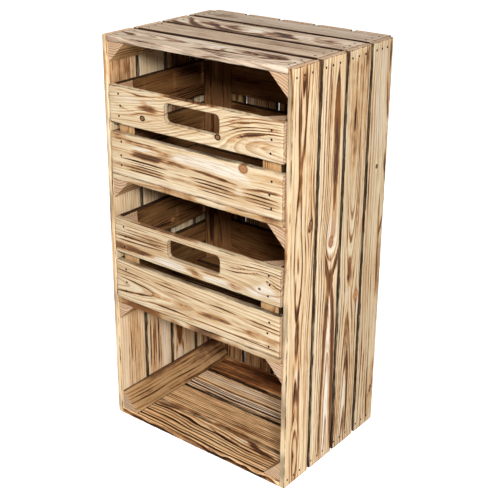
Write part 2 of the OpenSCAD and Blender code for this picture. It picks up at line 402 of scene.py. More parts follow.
# %% The burnt edges group
def build_burnt_edges():
    w, given, out = new_group(
        "burnt_edges",
        [("grain", "Vector", None), ("half_size", "Vector", None), ("edges", "Vector", None),
         ("seed", "Float", 0.0)],
        [("burn", "Float"), ("end_face", "Float")])
    along, across, through = w.split(given["grain"])
    half_along, half_across, half_through = w.split(given["half_size"])
    low_side, high_side, rim = w.split(given["edges"])
    own = w.ramp(across, -0.006, 0.006, low_side, high_side)
    from_edge = w.less(half_across, w.math("ABSOLUTE", across))
    from_face = w.less(half_through, w.math("ABSOLUTE", through))
    from_end = w.less(half_along, w.math("ABSOLUTE", along))
    deep = w.add(w.times(through, 110.0), given["seed"])
    place = w.join(w.times(along, 22.0), w.times(across, 110.0), deep)
    ragged = w.times(w.less(w.noise(place, 1.0, 3.0, 0.6), 0.47), 0.0075)
    spared = w.times(w.less(1.0, own), 0.0012)
    inwards = w.add(w.math("MAXIMUM", from_edge, from_face), w.add(ragged, spared))
    arris = w.ramp(inwards, 0.0004, 0.0026, 1.0, 0.0)
    long_place = w.join(w.times(along, 9.0), w.times(across, 20.0), w.add(given["seed"], 4.0))
    burnt = w.ramp(w.add(w.noise(long_place, 1.0, 2.0, 0.6), own), 0.85, 1.25)
    # The saw leaves the narrow faces rough, and the flame catches only their fur.
    fur_place = w.join(w.times(along, 26.0), w.times(across, 90.0), w.times(through, 420.0))
    fur = w.ramp(w.noise(fur_place, 1.0, 2.0, 0.7), 0.42, 0.66, 1.0, 0.74)
    face = w.times(w.ramp(from_edge, 0.0006, 0.0011, 1.0, 0.0), w.times(burnt, fur))
    end = w.ramp(from_end, 0.0003, 0.0007, 1.0, 0.0)
    long_edges = w.math("MAXIMUM", arris, face)
    # The dark line along the arrises at each end is partly burnt wood and partly painted shade from the gap
    # beside the end; it goes into the burn output.
    from_end_arris = w.add(w.math("MAXIMUM", from_end, from_face), w.times(ragged, 0.5))
    end_arris_burn_and_shade = w.ramp(from_end_arris, 0.0004, 0.0022, 0.9, 0.0)
    long_edges = w.times(w.math("MAXIMUM", long_edges, end_arris_burn_and_shade), w.less(1.0, w.times(end, 0.8)))
    # Round a hand slot the flame blackened the two arrises and left the wall between them pale.
    routed = w.times(rim, w.ramp(from_face, 0.0010, 0.0026, 1.0, 0.0))
    w.feed(out["burn"], w.math("MAXIMUM", long_edges, routed))
    w.feed(out["end_face"], end)
    print("burnt_edges has", len(w.tree.nodes), "nodes.")


build_burnt_edges()

# %% [markdown]
# ## The flamed pine surface
# One group puts the three effects together and is used by every wood material with its own colours.
# Each board carries its own numbers as mesh attributes: grain is the point in board coordinates,
# half_size half the board's length, width and thickness, log the pith's place, years the width and
# waviness of its rings and how much they stand out. knot_a and knot_b are knots, knot_bend and
# knot_lean how they turn the grain, torch is the listed smoke, sear and pale wood, with some of the
# smoke being painted shade, edges says how far its long edges burnt, tone shifts its colour, and
# seed makes its noise its own. So a few materials serve many boards, and no two look alike.
# The colour is painted in layers, in the order in which the tree, the saw and the flame made them.

# %% Early wood and the growth lines
def early_wood(w, given, place, marks):
    """Pale wood, with clouds of toasted wood, patches that the flame spared, and darker fibres."""
    along, across, seed = place
    sear, fibre = marks["sear"], marks["fibre"]
    cloud = w.noise(w.join(w.times(along, 6.0), w.times(across, 30.0), seed), 1.0, 2.0, 0.6)
    cloud = w.add(cloud, w.add(w.times(marks["streak"], 0.4), w.times(marks["vein"], 0.9)))
    toasting = w.math("ADD", w.times(w.ramp(cloud, 0.34, 0.74), 0.70), w.times(sear, 0.25), clamp=True)
    wood = w.mix(toasting, given["pale"], given["toast"])
    wood = w.mix(w.times(marks["bleach"], 0.85), wood, given["white"])
    hairs = w.times(w.ramp(fibre, 0.44, 0.66), w.add(0.50, w.times(sear, 0.25)))
    wood = w.mix(hairs, wood, given["line"])
    return w.mix(w.times(w.ramp(fibre, 0.58, 0.72), 0.55), wood, given["rust"])


def year_strength(w, rings, along, seed):
    """Each year's line has its own strength, which fades and returns along the board."""
    year = w.join(w.times(w.math("FLOOR", rings), 0.73), w.times(along, 6.0), seed)
    return w.noise(year, 1.0, 2.0)


def growth_lines(w, given, wood, late, year, contrast):
    """Late wood is a light brown line in wood that the flame has spared."""
    own_line = w.times(w.times(late, w.ramp(year, 0.34, 0.64, 0.16, 0.85)), given["line_strength"])
    return w.mix(w.math("MULTIPLY", own_line, contrast, clamp=True), wood, given["line"])


print("The wood's own layers are ready.")

# %% What the flame adds
def smoked(w, given, wood, smoke, char):
    """Smoke, some of it painted shade: tan at its rim, then brown, then soot in its middle, and charcoal
    where it lingered.
    """
    wood = w.mix(w.times(w.ramp(smoke, 0.0, 0.35), 0.8), wood, given["tan"])
    wood = w.mix(w.ramp(smoke, 0.28, 0.72), wood, given["smoke"])
    wood = w.mix(w.ramp(smoke, 0.66, 0.96), wood, given["soot"])
    return w.mix(w.times(char, 0.85), wood, given["seared"])


def searing_of(w, ring, sear, smoke, year, contrast):
    """How far the late wood seared: whole lines where the rings stand out, else their dense part."""
    late, dense = ring["late_wood"], ring["dense_wood"]
    broad = w.times(w.less(late, dense), w.ramp(contrast, 1.0, 1.6))
    searing = w.times(w.times(w.add(dense, broad), sear), w.ramp(year, 0.26, 0.60, 0.45, 1.0))
    searing = w.math("MAXIMUM", searing, w.times(w.times(late, w.ramp(smoke, 0.2, 0.8)), 0.6))
    return w.math("MULTIPLY", searing, contrast, clamp=True)


def seared(w, given, wood, searing):
    """Seared lines lie over the smoke, rusty at their margins."""
    wood = w.mix(w.times(w.ramp(searing, 0.0, 0.5), 0.9), wood, given["rust"])
    return w.mix(w.ramp(searing, 0.38, 0.95), wood, given["seared"])


print("The flame's layers are ready.")

# %% Knots and sawn ends
KNOT_PALE, KNOT_BROWN = paint(202, 146, 98), paint(156, 110, 68)
KNOT_HEART, KNOT_BLACK = paint(164, 106, 64), paint(66, 40, 24)
KNOT_RIM = paint(178, 118, 72)
END_RINGS = paint(158, 106, 68)


def knotted(w, given, wood, ring, darkness):
    """Dense tan wood with a heart, in a rim that the flame turned from rust to black."""
    knot_plain = w.mix(darkness, KNOT_PALE, KNOT_BROWN)
    knot_dark = w.mix(darkness, KNOT_HEART, KNOT_BLACK)
    wood = w.mix(w.times(ring["knot"], 0.95), wood, w.mix(ring["knot_rings"], knot_plain, knot_dark))
    rim = w.mix(darkness, KNOT_RIM, given["charcoal"])
    return w.mix(w.times(ring["knot_rim"], w.add(0.45, w.times(darkness, 0.55))), wood, rim)


def sawn_ends(w, given, wood, late, end_face):
    """Ends are paler than faces, with the rings as arcs."""
    end_wood = w.mix(w.times(late, 0.85), given["end_wood"], END_RINGS)
    return w.mix(w.times(end_face, 0.85), wood, end_wood)


def toned(w, wood, brightness, warmth):
    """The board's own brightness, and more red and less blue where it is warm."""
    shade = w.join(w.times(brightness, w.add(warmth, 1.0)), brightness,
                   w.times(brightness, w.less(1.0, warmth)))
    return w.mix(1.0, wood, shade, "MULTIPLY")


print("Knots and sawn ends are ready.")

# %% The pine surface group
def surface_effects(w, given, grain, seed, pitch, waviness, own_flame):
    """The growth rings, the torch marks and the burnt edges of a board."""
    ring = w.group("growth_rings", grain=grain, log=w.attribute("log", "Vector"),
                   knot_a=w.attribute("knot_a", "Vector"), knot_b=w.attribute("knot_b", "Vector"),
                   knot_bend=w.attribute("knot_bend", "Vector"),
                   knot_lean=w.attribute("knot_lean", "Vector"),
                   seed=seed, pitch=pitch, waviness=waviness).outputs
    marks = w.group("torch_marks", grain=grain, rings=ring["rings"], pitch=pitch, seed=seed,
                    torch=w.attribute("torch", "Vector"), flame=w.add(given["flame"], own_flame)).outputs
    edges = w.group("burnt_edges", grain=grain, half_size=w.attribute("half_size", "Vector"),
                    edges=w.attribute("edges", "Vector"), seed=seed).outputs
    return ring, marks, edges


def build_pine_surface():
    w, given, out = new_group(
        "pine_surface",
        [("pale", "Color", paint(238, 219, 184)), ("white", "Color", paint(245, 236, 220)),
         ("toast", "Color", paint(214, 180, 136)), ("line", "Color", paint(178, 132, 84)),
         ("tan", "Color", paint(204, 158, 108)), ("smoke", "Color", paint(142, 102, 70)),
         ("soot", "Color", paint(84, 59, 45)), ("rust", "Color", paint(144, 94, 52)),
         ("seared", "Color", paint(50, 28, 14)), ("charcoal", "Color", paint(42, 27, 17)),
         ("end_wood", "Color", paint(214, 184, 154)), ("flame", "Float", 0.0),
         ("edge_burn", "Float", 0.6), ("line_strength", "Float", 1.0)],
        [("colour", "Color"), ("roughness", "Float"), ("height", "Float")])
    grain = w.attribute("grain", "Vector")
    seed = w.attribute("seed")
    brightness, warmth, own_flame = w.split(w.attribute("tone", "Vector"))
    pitch, waviness, contrast = w.split(w.attribute("years", "Vector"))
    _, _, darkness = w.split(w.attribute("knot_bend", "Vector"))
    along, across, _ = w.split(grain)
    ring, marks, edges = surface_effects(w, given, grain, seed, pitch, waviness, own_flame)
    late, fibre = ring["late_wood"], marks["fibre"]
    year = year_strength(w, ring["rings"], along, seed)
    thinned = w.times(w.ramp(fibre, 0.40, 0.75), w.times(marks["smoke"], 0.22))
    smoke = w.math("SUBTRACT", marks["smoke"], thinned, clamp=True)
    searing = searing_of(w, ring, marks["sear"], smoke, year, contrast)
    burn = w.math("MULTIPLY", edges["burn"], given["edge_burn"], clamp=True)

    wood = early_wood(w, given, (along, across, seed), marks)
    wood = growth_lines(w, given, wood, late, year, contrast)
    wood = smoked(w, given, wood, smoke, marks["char"])
    wood = seared(w, given, wood, searing)
    wood = knotted(w, given, wood, ring, darkness)
    wood = sawn_ends(w, given, wood, late, edges["end_face"])
    wood = w.mix(burn, wood, given["charcoal"])
    w.feed(out["colour"], toned(w, wood, brightness, warmth))

    # What the flame touched is duller than clean wood.
    dulled = w.math("MAXIMUM", w.math("MAXIMUM", smoke, searing), w.math("MAXIMUM", burn, ring["knot_rim"]))
    w.feed(out["roughness"], w.add(w.add(0.60, w.times(late, -0.08)), w.times(dulled, 0.30)))
    # The brush took out soft early wood, so late wood stands proud and knots have a groove round them.
    relief = w.add(w.times(late, 0.55), w.times(fibre, 0.30))
    relief = w.less(relief, w.times(ring["knot_rim"], 0.5))
    w.feed(out["height"], w.less(relief, w.times(burn, 0.3)))
    print("pine_surface has", len(w.tree.nodes), "nodes.")


build_pine_surface()

# %% The wood materials
RELIEF_DEPTH = 0.35 * MM
SPECULAR = 0.12


def flamed_pine(name, **values):
    """A pine material: the surface group with its own values, on a plain shader."""
    material = bpy.data.materials.new(name)
    material.use_nodes = True
    w = Wiring(material.node_tree)
    shader = material.node_tree.nodes["Principled BSDF"]
    surface = w.group("pine_surface", **values).outputs
    bump = w.node("Bump")
    bump.inputs["Distance"].default_value = RELIEF_DEPTH
    w.feed(bump.inputs["Height"], surface["height"])
    w.feed(shader.inputs["Base Color"], surface["colour"])
    w.feed(shader.inputs["Roughness"], surface["roughness"])
    w.feed(shader.inputs["Normal"], bump.outputs["Normal"])
    shader.inputs["Specular IOR Level"].default_value = SPECULAR
    return material


WOODS = {
    "outer_pine": flamed_pine("outer_pine", edge_burn=0.98),
    "inner_pine": flamed_pine("inner_pine", pale=paint(248, 216, 168), toast=paint(220, 176, 124),
                              line=paint(150, 98, 54), tan=paint(160, 110, 62), edge_burn=0.98,
                              flame=0.1),
    "drawer_front_pine": flamed_pine("drawer_front_pine", edge_burn=0.95, flame=-0.05),
    # The drawers' wood is painted far darker than the other woods: painted shade, for the drawers' insides,
    # which lie in shade in the cabinet.
    "drawer_pine": flamed_pine("drawer_pine", pale=paint(148, 108, 66), toast=paint(112, 76, 43),
                               line=paint(92, 60, 32), tan=paint(112, 72, 38), smoke=paint(76, 48, 27),
                               soot=paint(48, 30, 18), white=paint(172, 132, 88), edge_burn=0.95,
                               flame=0.15),
    "top_pine": flamed_pine("top_pine", pale=paint(238, 220, 196), toast=paint(206, 180, 156),
                            line=paint(160, 128, 102), tan=paint(180, 148, 124), smoke=paint(132, 104, 86),
                            soot=paint(82, 64, 56), rust=paint(134, 100, 76), edge_burn=0.98),
    "strip_pine": flamed_pine("strip_pine", pale=paint(222, 184, 134), toast=paint(192, 148, 98),
                              white=paint(234, 206, 166), edge_burn=0.95, flame=-0.1),
}
print("Woods:", ", ".join(WOODS))

# %% [markdown]
# ## Sawing the boards
# A sawn board is a long box, but no real one has knife edges or ruler-straight sides. Each board
# starts as a cube at its CAD size, less a skin a third of a millimetre thick, so that the finished
# wood never stands out of the CAD box. Its edges are eased with a bevel. It is then cut into short
# lengths, so that two displacements can move it: a slow one along the board for the saw's wander,
# and a quick one on the arrises for splinters that burnt and brushed off.

# %% Board helpers
SKIN = 0.3 * MM
EASING = 1.1 * MM
CUT_EVERY = 7 * MM


def active():
    return bpy.context.view_layer.objects.active


def edit():
    bpy.ops.object.mode_set(mode="EDIT")


def done():
    bpy.ops.object.mode_set(mode="OBJECT")


def points_of(piece):
    """The piece's vertices as rows of x, y, z."""
    found = np.empty(len(piece.data.vertices) * 3, np.float32)
    piece.data.vertices.foreach_get("co", found)
    return found.reshape(-1, 3)


print(f"A skin of {SKIN / MM:.1f} mm keeps the finished wood inside its CAD solid.")

# %% Pick edges by their place
LONGER_THAN_EASING = 2.2 * EASING


def select_edges(piece, wanted):
    """Selects the edges for which wanted(start, end) holds, given all of them as arrays."""
    bpy.context.tool_settings.mesh_select_mode = (False, True, False)
    mesh = piece.data
    ends = np.empty(len(mesh.edges) * 2, np.int32)
    mesh.edges.foreach_get("vertices", ends)
    ends = ends.reshape(-1, 2)
    points = points_of(piece)
    chosen = wanted(points[ends[:, 0]], points[ends[:, 1]])
    picked = np.zeros(len(points), bool)
    picked[ends[chosen].ravel()] = True
    mesh.polygons.foreach_set("select", np.zeros(len(mesh.polygons), bool))
    mesh.vertices.foreach_set("select", picked)
    mesh.edges.foreach_set("select", chosen)
    mesh.update()


def running_along(axis, longer_than):
    """A test for edges that run along an axis and are longer than a length."""
    def test(start, end):
        step = np.abs(end - start)
        length = np.linalg.norm(end - start, axis=1)
        return (length > longer_than) & (step[:, axis] > 0.99 * length)
    return test


def cut_across(piece, axis, every):
    """Cuts the piece into lengths of about every, square to an axis."""
    span = np.ptp(points_of(piece)[:, axis])
    cuts = max(int(span / every) - 1, 1)
    select_edges(piece, running_along(axis, LONGER_THAN_EASING))
    edit()
    bpy.ops.mesh.subdivide(number_cuts=cuts)
    done()


print("Edges can be picked by their place, direction and length.")

# %% Start a board
def block(name, low, high):
    """A cube primitive at its size and place, with its place in its mesh."""
    bpy.ops.object.select_all(action="DESELECT")
    size, middle = high - low, (high + low) / 2
    bpy.ops.mesh.primitive_cube_add(size=1.0, location=middle, scale=size)
    bpy.ops.object.transform_apply(location=True, rotation=True, scale=True)
    piece = active()
    piece.name = piece.data.name = name
    return piece


def ease_edges(width, segments=2):
    """Bevels every edge of the piece that is being shaped."""
    edit()
    bpy.ops.mesh.select_all(action="SELECT")
    bpy.ops.mesh.bevel(offset=width, segments=segments)
    done()


print("A board starts as a block with eased edges.")

# %% The saw's wander and the splintered arrises
def cloud_texture(name, size):
    """Soft lumps of about the given size, in metres."""
    texture = bpy.data.textures.new(name, "CLOUDS")
    texture.noise_scale = size
    texture.noise_depth = 1
    return texture


SAW_WANDER = cloud_texture("saw_wander", 0.09)
SPLINTERS = cloud_texture("splinters", 0.011)
BOARD_WANDER = 0.9 * MM
BAR_WANDER = 0.5 * MM
SPLINTER_DEPTH = 1.0 * MM
SPLINTER_MIDDLE = 0.78   # above a half, so that splinters are mostly missing wood


def displace(piece, texture, strength, direction, middle=0.5, group=""):
    """Moves the piece's vertices, or a group of them, by a texture, and keeps the result."""
    modifier = piece.modifiers.new(texture.name, "DISPLACE")
    modifier.texture = texture
    modifier.texture_coords = "LOCAL"
    modifier.strength = strength
    modifier.mid_level = middle
    modifier.direction = direction
    modifier.vertex_group = group
    bpy.ops.object.modifier_apply(modifier=modifier.name)


def weather(piece, low, high, axes):
    """Moves a cut-up board's long edges a little, and nibbles its arrises."""
    _, across, through = axes
    points = points_of(piece)
    gaps = np.minimum(points - np.array(low), np.array(high) - points)
    arris = np.maximum(gaps[:, across], gaps[:, through]) < EASING * 1.2
    group = piece.vertex_groups.new(name="arris")
    group.add([int(i) for i in np.nonzero(arris)[0]], 1.0, "REPLACE")
    displace(piece, SAW_WANDER, BOARD_WANDER, "XYZ"[across])
    displace(piece, SPLINTERS, SPLINTER_DEPTH, "NORMAL", SPLINTER_MIDDLE, "arris")
    piece.vertex_groups.clear()
    keep_inside(piece, low, high)
    bpy.ops.object.shade_smooth_by_angle(angle=math.radians(40))


def keep_inside(piece, low, high):
    """Holds every vertex inside the board's own box, so that nothing stands out of the CAD."""
    points = np.clip(points_of(piece), np.array(low), np.array(high))
    piece.data.vertices.foreach_set("co", points.astype(np.float32).ravel())
    piece.data.update()


print("Textures for the saw and the splinters:", SAW_WANDER.name, SPLINTERS.name)

# %% [markdown]
# ## Timber: what each board was cut from
# The numbers below are read as a joiner would give them, in millimetres from a board's own corner:
# along it from its lower or left or front end, and across it from its lower or front edge.
# - pith: where the middle of the log runs, as (along, across, depth behind the face)
# - pitch, wave and contrast: the width of a year's growth, how wavy the grain is, and how much the
#   late wood stands out. Above 1 its lines grow broad
# - knots: (along, across, radius, how far round it the grain bends)
# - knot_dark and knot_lean: how black the knots burnt, and how far each leans, with how slim they are
# - strokes: where the flame passed, as what it left, how strongly, and (along, across, half width)
#   for each point of the stroke. SMOKE browns everything and chars it where its strength is above 1,
#   SEAR only the lines, PALE keeps wood clear. Some SMOKE strokes are painted shade, not flame
# - edges: how far the low and the high long edge burnt, from 0 to 1
# - tone: brightness, warmth, and a little more or less flame all over
# - wood: the name of another wood than the one that the board's place gives it
# A list of marks is the natural form for what a flame and a tree did by chance: no loop or formula
# would put them where they are. Boards without an entry get their own numbers from a random draw
# seeded with their name.

# %% The timber of the upper drawer's front
SMOKE, SEAR, PALE = 0, 1, 2

TIMBER = {
    "upper_drawer_front_upper_board": dict(
        pith=[(0, -60, 12), (130, -40, 20), (250, 0, 25), (300, 14, 14), (381, 18, 3)], pitch=5.0, wave=0.3,
        contrast=1.0, knots=[(79, 20, 4.8, 9), (247, 19, 5.2, 8)], knot_dark=0.95, edges=(0.45, 0.3),
        tone=(0.97, 0.0, -0.3),
        strokes=[(SMOKE, 0.85, (68, 37, 4), (80, 39, 8), (92, 39, 9), (108, 38, 6), (126, 38, 2)),
                 (SMOKE, 0.5, (60, 44, 4), (85, 44, 8), (120, 42, 3)),
                 (SMOKE, 0.85, (61, 37, 1.5), (67, 37, 2.4), (72, 37, 1.5)),
                 (SMOKE, 0.7, (15, 63, 0.8), (50, 61, 1.2), (70, 59, 1.8), (90, 60, 1.4), (135, 65, 0.8)),
                 (SMOKE, 0.7, (12, 36, 0.8), (25, 33, 1.4), (50, 28, 0.8)),
                 (SMOKE, 0.45, (264, 17, 2), (278, 18, 9), (291, 26, 5), (310, 32, 2)),
                 (SMOKE, 1.15, (284, 25, 0.8), (300, 31, 2.6), (325, 38, 2.6), (358, 45, 0.8)),
                 (SMOKE, 0.35, (308, 20, 3), (340, 22, 8), (381, 22, 9)),
                 (SMOKE, 1.1, (270, 48.5, 0.8), (300, 53, 1.8), (335, 60, 0.8)),
                 (SMOKE, 0.95, (254, 41, 0.5), (290, 44, 0.9), (322, 49, 0.5)),
                 (SMOKE, 0.9, (262, 57, 0.5), (300, 61, 0.8), (340, 66, 0.4)),
                 (SMOKE, 0.85, (330, 50, 0.5), (355, 54, 0.8), (381, 58, 0.5)),
                 (SMOKE, 0.8, (322, 44, 0.4), (350, 49, 0.7), (381, 52, 0.5)),
                 (SEAR, 0.6, (250, 40, 8), (320, 50, 14), (381, 60, 10)),
                 (SMOKE, 0.8, (120, 67.5, 0.8), (150, 68, 1.4), (200, 68, 1.4), (255, 68, 0.8)),
                 (SEAR, 0.15, (0, 20, 14), (60, 12, 10), (180, 8, 8)),
                 (PALE, 0.5, (296, 15, 2), (310, 27, 4), (381, 36, 3)),
                 (PALE, 0.5, (20, 50, 6), (60, 48, 8), (125, 52, 6)),
                 (PALE, 0.5, (296, 13, 2), (330, 5, 4), (381, 4, 4))]),
    "upper_drawer_front_lower_board": dict(
        pith=[(0, -150, 30)], pitch=6.0, wave=0.15, knots=[(300, 72, 8, 11)], knot_dark=0.4, contrast=0.5,
        edges=(0.5, 0.6), tone=(0.98, 0.0, -0.3),
        strokes=[(SMOKE, 1.05, (50, 45, 3), (62, 47, 6), (90, 47, 7), (112, 47, 7), (128, 48, 2)),
                 (SMOKE, 0.55, (34, 48, 4), (55, 49, 10), (130, 50, 10), (158, 49, 4)),
                 (SMOKE, 0.75, (118, 48, 4), (150, 49, 5), (192, 48, 3)),
                 (SMOKE, 1.0, (188, 47, 1), (215, 46, 3.0), (245, 44, 3.2), (288, 41, 1)),
                 (SMOKE, 0.9, (306, 39, 1), (330, 42, 2.6), (365, 44, 3.0), (381, 44, 2)),
                 (SMOKE, 0.55, (-20, 72, 8), (30, 72, 8), (55, 67, 5), (105, 66, 6), (130, 60, 6),
                  (160, 64, 2)),
                 (SMOKE, 0.40, (-20, 48, 5), (30, 48, 4), (50, 48, 2)),
                 (SMOKE, 0.45, (318, 60, 8), (350, 64, 12), (400, 62, 10)),
                 (SMOKE, 1.5, (30, 34, 0.6), (60, 34.5, 1.3), (95, 34.5, 1.3), (130, 33.5, 0.5)),
                 (SMOKE, 1.15, (34, 29.5, 0.3), (62, 30, 0.6), (100, 30, 0.5), (118, 29, 0.2)),
                 (SMOKE, 1.35, (50, 26, 0.4), (75, 26, 0.8), (112, 25.5, 0.6), (132, 25, 0.3)),
                 (SMOKE, 1.5, (36, 20.5, 0.5), (62, 21, 1.0), (102, 21, 1.0), (126, 20, 0.4)),
                 (SMOKE, 1.4, (40, 15, 0.5), (66, 15.5, 0.9), (104, 15.5, 0.8), (130, 15, 0.4)),
                 (SMOKE, 1.3, (186, 33, 0.5), (215, 33.5, 1.1), (248, 33, 1.0), (282, 32, 0.4)),
                 (SMOKE, 1.5, (194, 27, 0.5), (216, 27.5, 1.0), (252, 27, 1.1), (276, 26, 0.4)),
                 (SMOKE, 1.35, (192, 21, 0.4), (220, 21, 0.9), (254, 20.5, 0.8), (288, 20, 0.4)),
                 (SMOKE, 1.25, (196, 15.5, 0.4), (226, 15.5, 0.8), (262, 15, 0.6), (284, 15, 0.3)),
                 (SMOKE, 1.4, (300, 31, 0.5), (322, 31.5, 1.1), (350, 31, 1.1), (372, 30, 0.4)),
                 (SMOKE, 1.35, (302, 25, 0.5), (326, 25, 0.9), (352, 24.5, 0.8), (376, 24, 0.4)),
                 (SMOKE, 1.2, (304, 19.5, 0.4), (330, 19.5, 0.7), (352, 19, 0.6), (370, 19, 0.3)),
                 (SMOKE, 1.1, (326, 14.5, 0.3), (346, 14.5, 0.6), (381, 14, 0.4)),
                 (SEAR, 0.4, (0, 26, 11), (381, 26, 11)),
                 (SMOKE, 0.25, (40, 26, 10), (120, 26, 10), (190, 26, 8)),
                 (PALE, 1.2, (52, 57, 2), (75, 58, 5), (94, 60, 2)),
                 (PALE, 0.9, (126, 56, 2), (150, 60, 7), (200, 63, 10), (285, 60, 12), (315, 50, 6)),
                 (PALE, 0.4, (0, 6, 6), (381, 6, 6)),
                 (PALE, 0.7, (280, 30, 4), (292, 30, 14), (302, 30, 5))]),
}
print("Boards of the upper drawer's front:", len(TIMBER))

# %% The timber of the lower drawer's front
TIMBER.update({
    "lower_drawer_front_upper_board": dict(
        pith=[(0, -120, 30)], pitch=5.0, wave=0.2, knots=[(336, 22, 2.2, 9), (352, 36, 2.0, 17)],
        knot_dark=0.9, contrast=0.9, edges=(0.6, 0.4), tone=(0.93, -0.01, -0.25),
        strokes=[(SEAR, 0.5, (10, 48, 15), (90, 46, 15), (132, 42, 9)),
                 (SMOKE, 1.25, (0, 36, 0.5), (40, 36, 1.1), (80, 37, 0.9), (122, 38, 0.4)),
                 (SMOKE, 1.45, (10, 28, 0.6), (35, 28, 1.3), (62, 28.5, 0.9), (120, 31, 0.5)),
                 (SMOKE, 0.9, (30, 43, 0.4), (80, 43, 0.6), (124, 43, 0.3)),
                 (SMOKE, 0.8, (12, 50, 0.4), (55, 50.5, 0.6), (112, 50, 0.3)),
                 (SMOKE, 0.7, (20, 57, 0.3), (60, 57, 0.6), (100, 56, 0.3)),
                 (SMOKE, 0.8, (-40, 13, 9), (25, 13, 9), (60, 13, 8), (96, 14, 5)),
                 (SMOKE, 0.4, (60, 20, 3), (125, 22, 2)),
                 (SMOKE, 1.0, (17, 18, 1.6), (22, 18, 2.4), (27, 18, 1.6)),
                 (SMOKE, 0.8, (170, 13, 4), (190, 11, 9), (206, 8, 8), (216, 6, 3)),
                 (SMOKE, 0.7, (196, 17, 2), (235, 18, 2.4), (272, 20, 1)),
                 (SMOKE, 0.5, (256, 9, 4), (285, 10, 9), (308, 10, 5)),
                 (SMOKE, 0.8, (40, 67.5, 0.8), (120, 68, 1.2), (200, 68, 0.8)),
                 (SMOKE, 1.2, (252, 37, 0.4), (285, 38, 0.8), (312, 43, 0.9), (336, 50, 0.5)),
                 (SMOKE, 1.0, (256, 42, 0.4), (290, 45, 0.6), (326, 53, 0.4)),
                 (SMOKE, 0.8, (262, 49, 0.4), (300, 51, 0.6), (330, 58, 0.4)),
                 (SMOKE, 1.2, (350, 47, 0.4), (364, 42, 0.8), (395, 34, 0.8)),
                 (SMOKE, 1.35, (354, 40, 0.5), (368, 35, 1.0), (395, 26, 0.9)),
                 (SMOKE, 1.0, (356, 34, 0.4), (370, 29, 0.6), (395, 20, 0.6)),
                 (SEAR, 0.3, (250, 55, 12), (381, 55, 10)),
                 (PALE, 1.0, (84, 10, 1), (120, 11, 7), (165, 11, 7), (190, 10, 1)),
                 (PALE, 1.0, (207, 8, 1), (230, 9, 5), (290, 9, 6), (302, 9, 2)),
                 (PALE, 0.8, (303, 12, 5), (330, 15, 12), (348, 24, 14), (381, 12, 6))]),
    "lower_drawer_front_lower_board": dict(
        pith=[(0, 31, 3), (60, 31, 9), (100, 32, 15), (200, 32, 22), (381, 30, 26)], pitch=4.6, wave=0.3,
        contrast=1.0, edges=(0.7, 0.6), tone=(0.94, 0.01, -0.3),
        strokes=[(SMOKE, 1.2, (14, 46, 0.6), (45, 43.5, 1.5), (75, 40, 1.1), (100, 36, 0.6)),
                 (SMOKE, 1.15, (-10, 15, 1.0), (30, 19, 1.7), (62, 23, 2.0), (98, 30, 0.6)),
                 (SMOKE, 0.62, (66, 33, 3), (112, 33, 7), (150, 33, 6), (190, 33, 2)),
                 (SMOKE, 0.58, (192, 31, 3), (240, 32, 7), (265, 32, 7), (292, 31, 2)),
                 (SMOKE, 0.68, (292, 29, 3), (330, 29, 8), (360, 28, 8), (400, 27, 5)),
                 (SMOKE, 0.8, (98, 33, 1), (112, 33, 3), (124, 33, 1)),
                 (SMOKE, 1.45, (98, 58, 0.5), (125, 57.5, 1.1), (146, 57, 0.9), (170, 56, 0.4)),
                 (SMOKE, 1.1, (104, 64, 0.5), (124, 64.5, 1.3), (156, 63, 0.4)),
                 (SMOKE, 1.1, (168, 56, 0.4), (205, 55, 0.8), (226, 55, 0.3)),
                 (SMOKE, 1.4, (222, 55, 0.5), (255, 55, 1.1), (290, 53, 0.4)),
                 (SMOKE, 1.2, (300, 53, 0.5), (345, 52, 0.9), (395, 51, 0.7)),
                 (SMOKE, 0.95, (306, 45, 0.4), (350, 45, 0.7), (395, 44, 0.5)),
                 (SMOKE, 0.9, (110, 48, 0.4), (150, 49, 0.7), (176, 47, 0.3)),
                 (SMOKE, 0.8, (214, 48, 0.3), (240, 48, 0.6), (270, 47, 0.3)),
                 (SMOKE, 0.7, (180, 62, 0.3), (230, 62, 0.6), (280, 60, 0.3)),
                 (SMOKE, 1.1, (-10, 60, 0.5), (30, 59, 0.9), (80, 57, 0.4)),
                 (SMOKE, 0.8, (-10, 52, 0.4), (40, 52, 0.6), (76, 50, 0.3)),
                 (SMOKE, 1.5, (80, 15, 0.5), (115, 15.5, 1.2), (150, 15.5, 1.2), (180, 14, 0.5)),
                 (SMOKE, 1.1, (172, 14, 0.5), (240, 14, 0.8), (320, 12.5, 0.7), (395, 12, 0.6)),
                 (SMOKE, 0.5, (170, 8, 2), (190, 6, 4), (205, 5, 2)),
                 (PALE, 0.6, (10, 32, 7), (60, 33, 4), (78, 33, 1)),
                 (PALE, 0.4, (0, 7, 5), (381, 6, 4))]),
})
print("With the lower drawer's front:", len(TIMBER))

